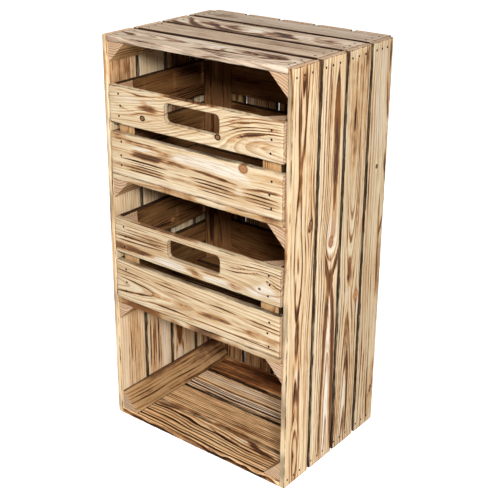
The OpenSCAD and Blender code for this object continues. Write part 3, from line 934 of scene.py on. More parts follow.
# %% The timber of the right side wall, front half
TIMBER.update({
    "right_side_board_1": dict(
        pith=[(0, 28, 9), (60, 27, 6), (140, 28, 12), (280, 27, 16), (420, 28, 9), (575, 27, 14),
              (760, 30, 8)],
        pitch=4.6, wave=0.4, knots=[(487, 58, 5.6, 12)], knot_dark=0.85, knot_lean=(0.22, 0, 0.48),
        edges=(0.43, 1.0), tone=(0.98, 0.045, -0.3),
        strokes=[(SMOKE, 0.9, (595, 25, 1), (640, 24, 2), (690, 23, 3), (735, 22, 1)),
                 (SMOKE, 1.0, (605, 36, 1), (680, 37, 2.2), (760, 36, 2.6)),
                 (SMOKE, 1.0, (543, 25, 1), (575, 26, 5.5), (594, 26, 2)),
                 (SMOKE, 0.4, (415, 15, 6), (440, 20, 12), (475, 32, 12)),
                 (SMOKE, 0.9, (335, 22, 1), (395, 20, 2.4), (418, 21, 1)),
                 (SMOKE, 0.9, (345, 36, 1), (390, 36, 2), (412, 35, 1)),
                 (SMOKE, 0.85, (238, 26, 3), (280, 27, 8), (335, 28, 5)),
                 (SMOKE, 0.75, (148, 20, 1.4), (200, 19, 2), (255, 20, 1.5)),
                 (SMOKE, 0.75, (148, 35, 1.4), (200, 35, 2), (255, 35, 1.5)),
                 (SMOKE, 0.9, (112, 20, 2), (130, 23, 4.5), (150, 27, 3)),
                 (SMOKE, 0.7, (118, 34, 2), (150, 31, 3)),
                 (SMOKE, 0.95, (28, 24, 1), (55, 25, 4), (78, 23, 1)),
                 (SMOKE, 0.8, (0, 37, 1.5), (120, 38, 2), (240, 38, 1.2)),
                 (SMOKE, 0.6, (500, 56, 1), (560, 55, 2), (600, 56, 1)),
                 (SEAR, 0.5, (0, 30, 16), (760, 30, 16)),
                 (SEAR, 0.4, (0, 58, 8), (760, 58, 8)),
                 (SMOKE, 0.5, (20, 47, 0.6), (200, 48, 1.2), (420, 46, 0.6)),
                 (SMOKE, 0.5, (520, 50, 0.6), (640, 51, 1.2), (760, 50, 0.8)),
                 (SMOKE, 0.4, (0, 64, 0.6), (150, 63, 1.2), (300, 64, 0.6)),
                 (PALE, 0.9, (152, 28, 4), (200, 28, 6), (232, 28, 3)),
                 (PALE, 0.5, (480, 30, 8), (520, 28, 10), (545, 28, 4))]),
    "right_side_board_2": dict(
        pith=[(0, 46, 3), (200, 46, 8), (360, 44, 17), (400, 44, 15), (430, 44, 9), (500, 48, 8),
              (745, 48, 15)],
        pitch=5.2, wave=0.35, knots=[(437, 43, 7.6, 13)], knot_dark=0.35, knot_lean=(0, 0, 0.7),
        edges=(1.0, 1.0), tone=(0.99, 0.01, -0.3),
        strokes=[(SMOKE, 1.0, (486, 49, 1), (510, 49, 5), (560, 49, 9), (640, 49, 10.5), (700, 48, 9),
                  (748, 48, 1)),
                 (SMOKE, 1.15, (335, 43, 1.5), (350, 42, 4.5), (380, 36, 6), (400, 31, 5), (426, 24, 1.5)),
                 (SMOKE, 1.15, (358, 46, 3), (385, 56, 6), (400, 62, 6), (416, 66, 3)),
                 (SMOKE, 1.1, (330, 43, 3), (362, 44, 11), (390, 43, 4)),
                 (SMOKE, 0.95, (0, 28, 2), (60, 28, 3), (130, 29, 3.4), (200, 31, 4.6), (260, 34, 6),
                  (345, 40, 6)),
                 (SMOKE, 1.0, (0, 68, 4), (60, 64, 5), (120, 62, 6), (200, 61, 7), (270, 59, 7.5),
                  (355, 50, 5)),
                 (SMOKE, 0.8, (540, 26, 1), (650, 26, 1.8), (760, 25, 1.8)),
                 (SMOKE, 0.55, (560, 31, 0.8), (700, 30, 1.4), (760, 30, 1.2)),
                 (SEAR, 0.5, (0, 30, 20), (760, 20, 16)),
                 (PALE, 0.9, (395, 43, 4), (430, 44, 15), (470, 45, 17), (488, 47, 8)),
                 (PALE, 1.0, (0, 45, 9), (120, 46, 9), (200, 46, 8), (280, 47, 5), (330, 46, 3),
                  (362, 46, 1)),
                 (PALE, 0.3, (0, 12, 12), (760, 12, 10))]),
})
print("With the front half of the right side wall:", len(TIMBER))

# %% The timber of the right side wall, rear half
TIMBER.update({
    "right_side_board_3": dict(
        pith=[(0, 30, 8), (150, 32, 12), (320, 33, 20), (385, 32, 16), (445, 32, 11), (500, 32, 6.5),
              (560, 32, 4),
              (760, 28, 6)],
        pitch=4.8, wave=0.35, knots=[(303, 56, 8.5, 12), (331, 38, 2, 4)], knot_dark=0.0, edges=(1.0, 1.0),
        tone=(0.88, 0.0, -0.2),
        strokes=[(SMOKE, 1.5, (618, 27, 1), (640, 27, 2.4), (655, 28, 2.4), (670, 28, 1)),
                 (SMOKE, 0.9, (440, 44, 0.6), (600, 46, 1.2), (760, 48, 1.0)),
                 (SMOKE, 0.7, (330, 52, 0.6), (480, 53, 1.4), (640, 55, 0.8)),
                 (SMOKE, 0.6, (300, 63, 1), (450, 63, 2.4), (600, 62, 2), (760, 62, 3)),
                 (SMOKE, 0.6, (30, 50, 0.6), (140, 50, 1.2), (260, 48, 0.6)),
                 (SMOKE, 0.5, (540, 25, 12), (620, 25, 22), (700, 28, 25), (760, 26, 25)),
                 (SMOKE, 0.75, (322, 33, 6), (350, 32, 10), (380, 31, 6), (398, 31, 1)),
                 (SMOKE, 0.6, (405, 22, 2), (445, 19, 3), (520, 17, 2)),
                 (SMOKE, 0.6, (405, 44, 2), (445, 46, 3), (520, 48, 2)),
                 (SMOKE, 0.5, (432, 33, 6), (446, 32, 5), (456, 32, 1)),
                 (SMOKE, 0.7, (150, 34, 5), (200, 32, 8), (250, 30, 9), (287, 30, 6)),
                 (SMOKE, 1.3, (25, 40, 2), (100, 41, 3.6), (160, 39, 3.6), (205, 36, 2)),
                 (SMOKE, 0.5, (10, 12, 6), (100, 12, 8), (190, 12, 6)),
                 (SMOKE, 0.4, (40, 58, 5), (180, 58, 6), (250, 50, 3)),
                 (SMOKE, 0.5, (560, 58, 3), (660, 56, 4), (760, 58, 4)),
                 (SEAR, 0.35, (330, 33, 20), (520, 33, 20), (560, 33, 10)),
                 (SEAR, 0.5, (0, 35, 30), (300, 35, 30)),
                 (PALE, 0.9, (15, 27, 4), (120, 28, 4.5), (200, 30, 3), (218, 31, 1)),
                 (PALE, 0.9, (258, 60, 4), (275, 62, 8), (290, 62, 3)),
                 (PALE, 0.8, (308, 20, 3), (322, 30, 8), (332, 44, 3))]),
    "right_side_board_4": dict(
        pith=[(0, 57, 25), (600, 57, 14), (680, 57, 8), (760, 57, 3)], pitch=6.0, wave=0.6, contrast=1.0,
        knots=[(535, 31, 3.4, 8)], knot_dark=1.0, edges=(1.0, 0.6), tone=(0.80, 0.02, -0.2),
        strokes=[(SMOKE, 0.9, (700, 57, 1), (720, 58, 3), (740, 58, 4.5), (760, 57, 3)),
                 (SMOKE, 0.9, (615, 58, 2), (640, 57, 3.5), (670, 53, 2.2), (700, 49, 1)),
                 (SMOKE, 0.9, (498, 61, 1), (530, 59, 4.5), (552, 58, 3.5), (562, 58, 1)),
                 (SMOKE, 0.95, (383, 49, 1), (410, 54, 3), (432, 60, 4), (442, 62, 1)),
                 (SMOKE, 0.8, (258, 48, 1), (300, 52, 3.5), (340, 50, 3.5), (388, 49, 1.5)),
                 (SMOKE, 0.7, (60, 46, 2), (75, 54, 4), (86, 59, 2)),
                 (SMOKE, 0.3, (0, 30, 12), (40, 30, 20), (62, 30, 8)),
                 (SMOKE, 0.3, (120, 58, 4), (240, 58, 6)),
                 (SEAR, 0.35, (0, 40, 20), (480, 48, 16)),
                 (PALE, 0.5, (560, 30, 24), (760, 30, 26))]),
})
print("With the right side wall:", len(TIMBER))

# %% The timber of the top
TIMBER.update({
    "top_board_1": dict(
        pith=[(0, 33, 6), (190, 38, 24), (260, 40, 12), (381, 40, 30)], pitch=5.4, wave=0.7, contrast=1.3,
        edges=(0.35, 1.0), wood="top_pine", tone=(0.92, 0.02, -0.2),
        strokes=[(SMOKE, 1.5, (182, 18, 1), (200, 20, 3), (236, 26, 4.5), (264, 28, 2.4)),
                 (SMOKE, 1.0, (252, 27, 2.4), (300, 28, 2), (330, 31, 2.4), (347, 37, 3), (362, 46, 2)),
                 (SMOKE, 0.72, (246, 46, 5), (280, 44, 13), (318, 44, 15), (342, 45, 11), (362, 48, 2)),
                 (SMOKE, 0.85, (306, 36, 2), (330, 38, 5), (346, 42, 5), (364, 50, 2)),
                 (SMOKE, 1.2, (-10, 70, 1.6), (60, 70, 2.6), (180, 70, 2.2), (400, 70, 2.0)),
                 (SMOKE, 0.85, (-10, 38, 1.5), (15, 35, 4), (30, 30, 8), (42, 27, 5), (54, 25, 1)),
                 (SMOKE, 0.5, (95, 33, 5), (130, 37, 9), (165, 41, 7), (200, 44, 2)),
                 (SMOKE, 0.5, (10, 52, 1), (60, 50, 2), (120, 46, 1)),
                 (SMOKE, 0.6, (60, 14, 0.6), (150, 12, 1.0), (381, 14, 1.0)),
                 (SMOKE, 0.6, (180, 7.5, 0.6), (260, 8, 1.0), (381, 9, 1.0)),
                 (SMOKE, 0.6, (300, 62, 0.8), (345, 59, 1.2), (381, 52, 1.0)),
                 (PALE, 0.9, (120, 52, 3), (200, 48, 7), (240, 45, 8), (258, 46, 3)),
                 (PALE, 0.8, (285, 60, 2), (345, 58, 3), (366, 46, 6), (381, 34, 8))]),
    "top_board_2": dict(
        pith=[(0, 150, 20)], pitch=5.0, wave=0.4, edges=(1.0, 1.0), wood="top_pine",
        tone=(0.82, 0.05, -0.25),
        strokes=[(SMOKE, 0.26, (0, 35, 35), (381, 35, 35)), (SEAR, 0.5, (180, 50, 14), (381, 55, 14)),
                 (SMOKE, 1.2, (-10, 1, 1.6), (90, 1, 2.4), (160, 1, 2.6), (400, 1, 2.0)),
                 (SMOKE, 1.2, (-10, 69, 2.2), (100, 69, 2.0), (260, 69, 2.8), (400, 69, 1.6))]),
    "top_board_3": dict(
        pith=[(0, 36, 6), (60, 34, 20), (150, 30, 12), (250, 34, 22), (381, 40, 8)], pitch=6.5, wave=1.3,
        edges=(1.0, 0.8), wood="top_pine", tone=(1.05, 0.0, -0.2),
        strokes=[(SMOKE, 1.0, (-10, 20, 5), (20, 9, 5), (50, 3, 4)),
                 (SMOKE, 1.05, (6, 54, 4), (22, 46, 8), (38, 28, 9), (58, 14, 8), (84, 6, 6)),
                 (SMOKE, 0.95, (52, 34, 3), (72, 38, 11), (92, 32, 11), (110, 18, 7), (150, 8, 4)),
                 (SMOKE, 0.8, (100, 36, 2), (128, 36, 10), (154, 32, 4)),
                 (SMOKE, 0.58, (190, 30, 3), (215, 36, 11), (246, 38, 17), (262, 26, 11), (290, 12, 4)),
                 (SMOKE, 0.6, (290, 36, 4), (318, 38, 15), (345, 40, 17), (362, 44, 6)),
                 (SMOKE, 1.2, (-10, 1, 2.4), (150, 1, 2.6), (320, 1, 2.8), (400, 1, 1.6)),
                 (SMOKE, 1.1, (-10, 70, 1.6), (60, 70, 2.2), (160, 70, 1.4), (280, 70, 2.8),
                  (400, 70, 1.6)),
                 (SMOKE, 0.6, (130, 12, 0.8), (240, 8, 1.2), (381, 12, 1)),
                 (SMOKE, 0.5, (150, 20, 0.6), (200, 18, 1), (260, 20, 0.6)),
                 (PALE, 0.8, (0, 36, 8), (20, 20, 5), (45, 14, 3)),
                 (PALE, 0.8, (155, 40, 12), (180, 40, 22), (205, 40, 10)),
                 (PALE, 0.7, (262, 42, 4), (275, 40, 10), (298, 38, 10), (310, 20, 3))]),
    "top_board_4": dict(
        pith=[(0, -120, 20)], pitch=6.0, wave=0.6, contrast=0.8, edges=(1.0, 0.4), wood="top_pine",
        tone=(0.80, 0.0, -0.25),
        strokes=[(SMOKE, 0.5, (10, 32, 14), (60, 32, 26), (90, 34, 8)),
                 (SMOKE, 0.2, (0, 35, 35), (381, 35, 35)),
                 (SMOKE, 1.1, (-10, 1, 2.0), (160, 1, 2.2), (400, 1, 2.0))]),
})
print("With the top:", len(TIMBER))

# %% The timber of the floor and the drawers' floors
TIMBER.update({
    "bottom_board_1": dict(
        pith=[(0, -62, 20), (110, -58, 20), (240, -70, 20), (381, -82, 20)], pitch=7.0, wave=1.5,
        contrast=1.7, edges=(0.3, 0.6), tone=(1.26, -0.01, -0.25),
        strokes=[(SMOKE, 0.35, (-20, 0, 2), (400, 0, 2)),
                 (SMOKE, 1.3, (268, 66, 3), (280, 61, 7), (296, 54, 4), (352, 46, 2)),
                 (SMOKE, 1.1, (180, 56, 1), (205, 49, 2), (262, 42, 2)),
                 (SMOKE, 1.1, (36, 60, 4), (85, 65, 3), (104, 64, 1)),
                 (SMOKE, 1.0, (235, 52, 1), (300, 48, 1.6), (340, 42, 1)),
                 (SEAR, 1.2, (0, 26, 26), (381, 26, 24)),
                 (PALE, 0.6, (235, 57, 4), (258, 60, 7), (272, 60, 2))]),
    "bottom_board_2": dict(pith=[(0, -90, 16)], pitch=4.6, wave=0.3, contrast=1.2, edges=(0.6, 0.9),
                           strokes=[(SEAR, 0.35, (0, 34, 40), (381, 34, 40)),
                                    (SMOKE, 0.2, (0, 40, 30), (381, 40, 30)),
                                    (SEAR, 0.8, (200, 24, 8), (330, 22, 14), (381, 22, 14)),
                                    (SMOKE, 0.5, (60, 2, 4), (190, 3, 5), (260, 2, 3))],
                           tone=(1.22, 0.0, -0.25)),
    "bottom_board_3": dict(pith=[(0, -40, 18)], pitch=6.8, wave=0.7, contrast=1.7, edges=(0.8, 1.0),
                           strokes=[(SEAR, 1.3, (0, 14, 14), (381, 18, 16)),
                                    (PALE, 0.6, (0, 14, 14), (381, 18, 16)),
                                    (PALE, 0.5, (0, 52, 14), (381, 52, 14))],
                           tone=(1.24, -0.03, -0.15)),
    "bottom_board_4": dict(pith=[(0, 100, 12)], pitch=7.0, wave=1.0, edges=(1.0, 1.0),
                           strokes=[(SMOKE, 0.6, (0, 35, 30), (381, 35, 30))], tone=(1.08, 0.16, 0.1)),
    # The drawers' floor boards take the front's wood instead of the drawers' dark painted-shade wood, and
    # streaks darken their front edge along the seam with the front board.
    "upper_drawer_floor_board_1": dict(pith=[(0, -60, 20)], pitch=5.5, edges=(0.15, 1.0),
                                       wood="drawer_front_pine",
                                       tone=(0.92, 0.0, -0.1),
                                       strokes=[(SMOKE, 0.5, (100, 0, 2), (150, 0, 2), (200, 0, 2)),
                                                (SMOKE, 0.6, (260, 0, 2), (381, 0, 3))]),
    "lower_drawer_floor_board_1": dict(pith=[(0, -90, 20)], pitch=5.0, edges=(0.2, 1.0),
                                       wood="drawer_front_pine",
                                       tone=(0.92, 0.0, -0.1),
                                       strokes=[(SMOKE, 0.9, (5, 0, 3), (60, 0, 3), (112, 0, 2)),
                                                (SMOKE, 0.9, (175, 0, 2), (210, 0, 4), (250, 0, 2))]),
})
print("With the floors:", len(TIMBER))

# %% The timber of the strips and the runners
TIMBER.update({
    "bottom_left_strip": dict(
        pith=[(0, -90, 20)], pitch=5.2, wave=0.4, contrast=0.9, tone=(0.86, -0.01, -0.15),
        # The dark line along the strip's top edge, in the crease against the left wall, is mostly painted
        # shade and partly charred edge.
        strokes=[(SMOKE, 1.35, (-40, 40, 3), (360, 39, 4)),
                 (SMOKE, 0.8, (60, 36, 3), (200, 35, 6), (300, 34, 8)),
                 (SMOKE, 0.6, (170, 26, 6), (300, 22, 20)), (SEAR, 0.45, (-20, 18, 16), (300, 18, 16)),
                 (SMOKE, 0.55, (-20, 22, 3), (60, 18, 5), (110, 20, 2)),
                 (SMOKE, 0.6, (60, 8, 2), (150, 8, 4), (240, 10, 3)),
                 (SMOKE, 0.5, (10, 30, 1), (70, 30, 2), (110, 30, 1))]),
    "top_left_strip": dict(pith=[(0, 60, 10)], pitch=5.0, wave=0.5, tone=(0.98, 0.02, -0.2),
                           strokes=[(SEAR, 0.9, (-10, 18, 12), (120, 18, 12)),
                                    (SMOKE, 0.5, (60, 12, 12), (300, 14, 16))]),
    "upper_left_runner": dict(pith=[(0, 60, 10)], pitch=5.0, wave=0.5, tone=(0.98, 0.0, -0.2),
                              strokes=[(SEAR, 0.9, (-10, 20, 14), (120, 20, 14)),
                                       (SMOKE, 0.6, (50, 12, 16), (300, 14, 20))]),
    "lower_left_runner": dict(pith=[(0, 60, 10)], pitch=5.0, wave=0.5, tone=(0.98, 0.0, -0.2),
                              strokes=[(SEAR, 0.9, (-10, 20, 14), (120, 20, 14)),
                                       (SMOKE, 0.8, (18, 20, 14), (300, 14, 20))]),
})
print("With the strips and the runners:", len(TIMBER))

# %% The timber of the left side wall
TIMBER.update({
    "left_side_board_1": dict(
        pith=[(0, -60, 20)], pitch=6.0, wave=0.4, contrast=0.6, edges=(0.39, 1.0), tone=(1.18, 0.03, -0.3),
        strokes=[(SMOKE, 1.2, (108, 33, 0.6), (145, 33, 1.2), (172, 33, 0.6)),
                 (SMOKE, 0.9, (60, 43, 0.5), (100, 43, 1.0), (150, 43, 0.5)),
                 (SMOKE, 0.8, (70, 26, 0.4), (110, 26, 0.8), (150, 26, 0.4)),
                 (SMOKE, 0.8, (150, 50, 0.4), (190, 50, 0.9), (215, 50, 0.4)),
                 (SEAR, 0.6, (40, 42, 16), (230, 42, 16)),
                 # Painted shade: this broad smoke stroke darkens the board's top, where the upper
                 # compartment is in shade.
                 (SMOKE, 0.62, (640, 36, 30), (700, 36, 40), (780, 36, 40)),
                 (SMOKE, 0.6, (178, 28, 1), (205, 28, 1.8), (220, 28, 1)),
                 (SMOKE, 0.4, (50, 48, 6), (150, 46, 11), (230, 45, 8)),
                 (PALE, 0.4, (0, 14, 14), (240, 14, 14))]),
    "left_side_board_2": dict(
        pith=[(0, 110, 20)], pitch=7.5, wave=0.3, contrast=0.5, edges=(1.0, 1.0), tone=(1.17, 0.01, -0.3),
        strokes=[(SMOKE, 1.2, (55, 9, 1.0), (150, 9, 1.6), (180, 9, 1.0)),
                 (SMOKE, 0.5, (520, 60, 10), (600, 60, 12), (640, 60, 8)),
                 (SMOKE, 0.8, (55, 18, 3), (170, 18, 5)),
                 (SMOKE, 1.35, (50, 32, 0.8), (150, 32, 1.6), (180, 32, 0.8)),
                 (SMOKE, 1.0, (50, 38, 0.5), (90, 38, 1.2), (120, 38, 0.5)),
                 (SMOKE, 0.9, (50, 25, 0.4), (110, 25, 0.8), (170, 24, 0.4)),
                 (SMOKE, 0.6, (40, 39, 1.5), (110, 38, 2), (130, 37, 1)),
                 (PALE, 0.6, (40, 52, 12), (180, 52, 12))]),
    "left_side_board_3": dict(
        pith=[(0, 20, 4), (90, 20, 10), (200, 22, 22)], pitch=6.0, wave=0.4, contrast=0.7, edges=(1.0, 1.0),
        tone=(1.12, 0.0, -0.2),
        strokes=[(SMOKE, 1.35, (84, 20, 7), (100, 20, 9), (135, 20, 10), (180, 22, 6)),
                 # Painted shade: this broad smoke stroke darkens the board's top, where the upper
                 # compartment is in shade.
                 (SMOKE, 0.85, (560, 30, 30), (640, 36, 40), (780, 36, 40)),
                 (SMOKE, 0.7, (50, 42, 0.5), (90, 42, 1.0), (130, 42, 0.5)),
                 (SMOKE, 1.0, (58, 9, 1.5), (86, 12, 4)), (SMOKE, 1.0, (58, 32, 1.5), (86, 28, 4)),
                 (PALE, 1.0, (45, 20, 9), (70, 20, 6), (90, 20, 1))]),
})
print("Boards and bars with timber of their own:", len(TIMBER))

# %% Timber for the rest
def drawn_strokes(draw, long, wide, count):
    """Random strokes of the flame along a board, each as long as a hand and a finger wide."""
    strokes = []
    for _ in range(count):
        start, reach = draw.uniform(-30, long - 40), draw.uniform(60, 200)
        across, drift, half = draw.uniform(4, wide - 4), draw.uniform(-6, 6), draw.uniform(1.5, 8)
        kind = draw.choice((SMOKE, SMOKE, SEAR, SEAR, PALE))
        middle, end = (start + reach / 2, across + drift, half), (start + reach, across + drift / 2, 1)
        strokes.append((kind, draw.uniform(0.5, 1.1), (start, across, 1), middle, end))
    return strokes


def drawn_timber(name, long, wide):
    """Numbers for a board that has no entry, the same each time for the same name."""
    draw = random.Random(name)
    if draw.random() < 0.4:
        across = draw.uniform(12, wide - 12)
        pith = [(s * long / 3, across + draw.uniform(-5, 5), draw.uniform(4, 22)) for s in range(4)]
    else:
        pith = [(0, draw.uniform(-150, -40), 25)]
    knots = [(draw.uniform(60, long - 60), draw.uniform(12, wide - 12), draw.uniform(3, 7), 9)]
    return dict(pith=pith, pitch=draw.uniform(4.2, 6.0), wave=draw.uniform(0.3, 0.9),
                knots=knots if draw.random() < 0.35 else [], edges=(1.0, 1.0),
                strokes=drawn_strokes(draw, long, wide, int(long / 45) + 2),
                tone=(draw.uniform(0.94, 1.02), draw.uniform(-0.02, 0.03), draw.uniform(-0.2, -0.05)))


PLAIN = dict(knots=[], knot_dark=0.35, knot_lean=(0, 0, 0.85), strokes=[], wave=0.5, contrast=1.0,
             edges=(1.0, 1.0))
example = drawn_timber("example", 760, 70)
print("An example of drawn timber has", len(example["strokes"]), "strokes and a pitch of", example["pitch"])

# %% Board coordinates and attributes
def write(mesh, name, kind, values):
    """Writes one value or one vector for each vertex."""
    layer = mesh.attributes.new(name, kind, "POINT")
    count = len(mesh.vertices)
    width = 3 if kind == "FLOAT_VECTOR" else 1
    rows = np.broadcast_to(np.asarray(values, np.float32).reshape(-1, width), (count, width))
    layer.data.foreach_set("vector" if width == 3 else "value", np.ascontiguousarray(rows).ravel())


def smooth_path(along, nodes, column):
    """The value of one column of the nodes at each place along, its corners rounded over a thumb's width."""
    nodes = np.array(nodes, float)
    steps = np.linspace(-22, 22, 9)
    return np.mean([np.interp(along + step, nodes[:, 0], nodes[:, column]) for step in steps], axis=0)


# A stroke fades from full strength inside to nothing outside, over these lengths in millimetres.
FADES_BEYOND, FADES_WITHIN = 14, 26
AT_ITS_END = 0.55
SOFT_RIM = 0.9


def stroke_marks(along, across, strokes):
    """What the listed strokes leave at each vertex, as rows of smoke, sear and pale; some smoke is painted
    shade.
    """
    marks = np.zeros((len(along), 3))
    for kind, strength, *nodes in strokes:
        nodes = np.array(nodes, float)
        middle = np.interp(along, nodes[:, 0], nodes[:, 1])
        half = np.interp(along, nodes[:, 0], nodes[:, 2])
        inwards = np.minimum(along - nodes[0, 0], nodes[-1, 0] - along)
        ends = np.interp(inwards, (-FADES_BEYOND, 0, FADES_WITHIN), (0, AT_ITS_END, 1))
        away = np.abs(across - middle)
        share = np.clip((1.35 * half + SOFT_RIM - away) / (0.9 * half + SOFT_RIM), 0, 1)
        marks[:, kind] = np.maximum(marks[:, kind], strength * ends * share)
    return marks


print("Strokes of the flame can be read at any place on a board.")

# %% Give a board its grain
# Boards whose show face is their low side. The pith lies towards their high side.
FACING_LOW = ("upper_drawer_front", "lower_drawer_front", "back_board")
NO_KNOT = (9.0, 9.0, 0.001, 0.001)   # a tiny one, metres away from the board


def knots_of(timber, half):
    """A board's two knots in metres from its middle."""
    knots = [(k[0] * MM - half[0], k[1] * MM - half[1], k[2] * MM, k[3] * MM) for k in timber["knots"]]
    return (knots + [NO_KNOT] * 2)[:2]


def give_grain(piece, name, low, high, axes):
    """Writes a board's coordinates and its timber to its mesh."""
    corner, size = np.array(low)[list(axes)], np.array(high - low)[list(axes)]
    timber = {**PLAIN, **(TIMBER.get(name) or drawn_timber(name, size[0] / MM, size[1] / MM))}
    points = points_of(piece)[:, axes]
    along, across = (points[:, 0] - corner[0]) / MM, (points[:, 1] - corner[1]) / MM
    half = size / 2
    mesh = piece.data
    write(mesh, "grain", "FLOAT_VECTOR", points - (corner + half))
    write(mesh, "half_size", "FLOAT_VECTOR", [half])
    pith_across = smooth_path(along, timber["pith"], 1) * MM - half[1]
    pith_depth = smooth_path(along, timber["pith"], 2) * MM
    # Seen from inside or from outside, the pith lies behind the face that shows.
    behind = 1.0 if name.startswith(FACING_LOW) else -1.0
    write(mesh, "log", "FLOAT_VECTOR", np.column_stack([pith_across, behind * pith_depth, 0 * along]))
    write(mesh, "years", "FLOAT_VECTOR", [(timber["pitch"] * MM, timber["wave"], timber["contrast"])])
    knot_a, knot_b = knots_of(timber, half)
    write(mesh, "knot_a", "FLOAT_VECTOR", [knot_a[:3]])
    write(mesh, "knot_b", "FLOAT_VECTOR", [knot_b[:3]])
    write(mesh, "knot_bend", "FLOAT_VECTOR", [(knot_a[3], knot_b[3], timber["knot_dark"])])
    write(mesh, "knot_lean", "FLOAT_VECTOR", [timber["knot_lean"]])
    write(mesh, "torch", "FLOAT_VECTOR", stroke_marks(along, across, timber["strokes"]))
    write(mesh, "edges", "FLOAT_VECTOR", [(*timber["edges"], 0.0)])
    write(mesh, "tone", "FLOAT_VECTOR", [timber["tone"]])
    write(mesh, "seed", "FLOAT", [random.Random("seed " + name).uniform(0, 40)])


print("The board coordinates are ready.")

# %% What each piece stands for
def slot_of(node):
    """The record's material slot of a CAD node."""
    return next(part["material_slot"] for part in frame["record"]["subparts"] if part["node"] == node)


def body_of(node):
    """The body that carries a CAD node."""
    return next(b for b, held in frame["record"]["behaviour"]["bodies"].items() if node in held)


def fit_out(piece, node, material=None):
    """Gives a finished piece its material, hangs it on the body that it moves with, and hides the CAD node
    that it replaces.
    """
    slot = slot_of(node)
    piece.data.materials.clear()
    piece.data.materials.append(material or WOODS[slot])
    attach(piece, body_of(node))
    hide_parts(node)


def node_box(node):
    """A CAD node's corners, drawn in by the skin."""
    low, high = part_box(node)
    skin = Vector((SKIN, SKIN, SKIN))
    return low + skin, high - skin


def node_points(node):
    """A CAD node's vertices, which are never changed."""
    return points_of(frame["nodes"][node])


# %% Saw the plain boards
def board_axes(low, high):
    """Which of x, y, z runs along a board, across it and through its thickness."""
    size = high - low
    return tuple(sorted(range(3), key=lambda axis: -size[axis]))


def fineness(node):
    """How much finer a board is cut across than along, so that narrow marks show on it."""
    if "drawer_front" in node:
        return 6
    return 3 if node in TIMBER else 1


def sawn_board(node):
    """A plain board in place of a CAD node."""
    low, high = node_box(node)
    axes = board_axes(low, high)
    piece = block(node + "_wood", low, high)
    ease_edges(EASING)
    cut_across(piece, axes[0], CUT_EVERY)
    cut_across(piece, axes[1], CUT_EVERY / fineness(node))
    weather(piece, low, high, axes)
    give_grain(piece, node, low, high, axes)
    fit_out(piece, node, WOODS.get(TIMBER.get(node, PLAIN).get("wood")))
    return piece


SLOTTED = [f"{level}_drawer_front_upper_board" for level in ("lower", "upper")]
SLOTTED_AXES = (0, 2, 1)
boards = [n for n in frame["nodes"] if "board" in n and n not in SLOTTED]
for node in boards:
    sawn_board(node)
print("Sawn boards:", len(boards))

# %% [markdown]
# ## The hand slot boards
# The upper front board of each drawer has a slot to pull it by: a rounded oblong, routed through,
# its rim softened by sanding. It is cut here with a rounded cutter and a boolean, which leaves a
# clean outline that a bevel can then soften on both faces. The slot's size is read off the CAD.

# %% Find the slot and the edges round it
CLOSE = 0.01 * MM


def slot_limits(node, low, high):
    """The lowest and highest corner of a board's hand slot."""
    points = node_points(node)
    inside = np.all((points[:, [0, 2]] > np.array(low)[[0, 2]] + EASING * 3)
                    & (points[:, [0, 2]] < np.array(high)[[0, 2]] - EASING * 3), axis=1)
    return Vector(points[inside].min(axis=0)), Vector(points[inside].max(axis=0))


def within(low, high, slack):
    """A test for edges that lie wholly between two corners."""
    def test(start, end):
        lowest, highest = np.array(low) - slack, np.array(high) + slack
        inside = [np.all((p > lowest) & (p < highest), axis=1) for p in (start, end)]
        return inside[0] & inside[1]
    return test


def rim_edges(low, high, slot_low, slot_high):
    """A test for the edges round the slot on the board's two faces."""
    around = within(slot_low, slot_high, 0.1 * MM)

    def test(start, end):
        flat = np.abs(end[:, 1] - start[:, 1]) < CLOSE
        outer = np.minimum(np.abs(start[:, 1] - low[1]), np.abs(start[:, 1] - high[1])) < CLOSE
        return around(start, end) & flat & outer
    return test


def outline_edges(low, high):
    """A test for the twelve edges of the board's own box."""
    def test(start, end):
        limits = np.array([low, high])
        on_side = [np.min(np.abs(p[:, None, :] - limits[None]), axis=1) < CLOSE for p in (start, end)]
        return np.sum(on_side[0] & on_side[1], axis=1) >= 2
    return test


for node in SLOTTED:
    slot_low, slot_high = slot_limits(node, *node_box(node))
    print(f"The slot of {node} is {(slot_high.x - slot_low.x) / MM:.0f} mm wide.")

# %% Rout the hand slots
SLOT_CORNER = 9 * MM
RIM = 1.3 * MM
RIM_BURN = 0.55
RIM_FADE = 0.9 * MM


def bevel_edges(piece, test, width, segments):
    """Bevels the edges for which the test holds."""
    select_edges(piece, test)
    edit()
    bpy.ops.mesh.bevel(offset=width, segments=segments)
    done()


def station_cuts(low, high, axis, every):
    """Cuts right through the piece that is being shaped, at even steps along an axis."""
    count = int((high[axis] - low[axis]) / every)
    for k in range(1, count):
        place = Vector((0, 0, 0))
        place[axis] = low[axis] + (high[axis] - low[axis]) * k / count
        square = Vector((0, 0, 0))
        square[axis] = 1.0
        edit()
        bpy.ops.mesh.select_all(action="SELECT")
        bpy.ops.mesh.bisect(plane_co=place, plane_no=square)
        done()


def slotted_board(node):
    """The upper front board of a drawer, with its hand slot."""
    low, high = node_box(node)
    slot_low, slot_high = slot_limits(node, low, high)
    beyond = Vector((0, 5 * MM, 0))
    cutter = block("slot_cutter", slot_low - beyond, slot_high + beyond)
    bevel_edges(cutter, running_along(1, 1 * MM), SLOT_CORNER, 6)
    piece = block(node + "_wood", low, high)
    cut = piece.modifiers.new("hand_slot", "BOOLEAN")
    cut.object = cutter
    bpy.ops.object.modifier_apply(modifier=cut.name)
    bpy.data.objects.remove(cutter)
    bevel_edges(piece, rim_edges(low, high, slot_low, slot_high), RIM, 2)
    bevel_edges(piece, outline_edges(low, high), EASING, 2)
    station_cuts(low, high, 0, CUT_EVERY)
    station_cuts(low, high, 2, CUT_EVERY / fineness(node))
    weather(piece, low, high, SLOTTED_AXES)
    give_grain(piece, node, low, high, SLOTTED_AXES)
    scorch_rim(piece, slot_low, slot_high)
    fit_out(piece, node)
    return piece


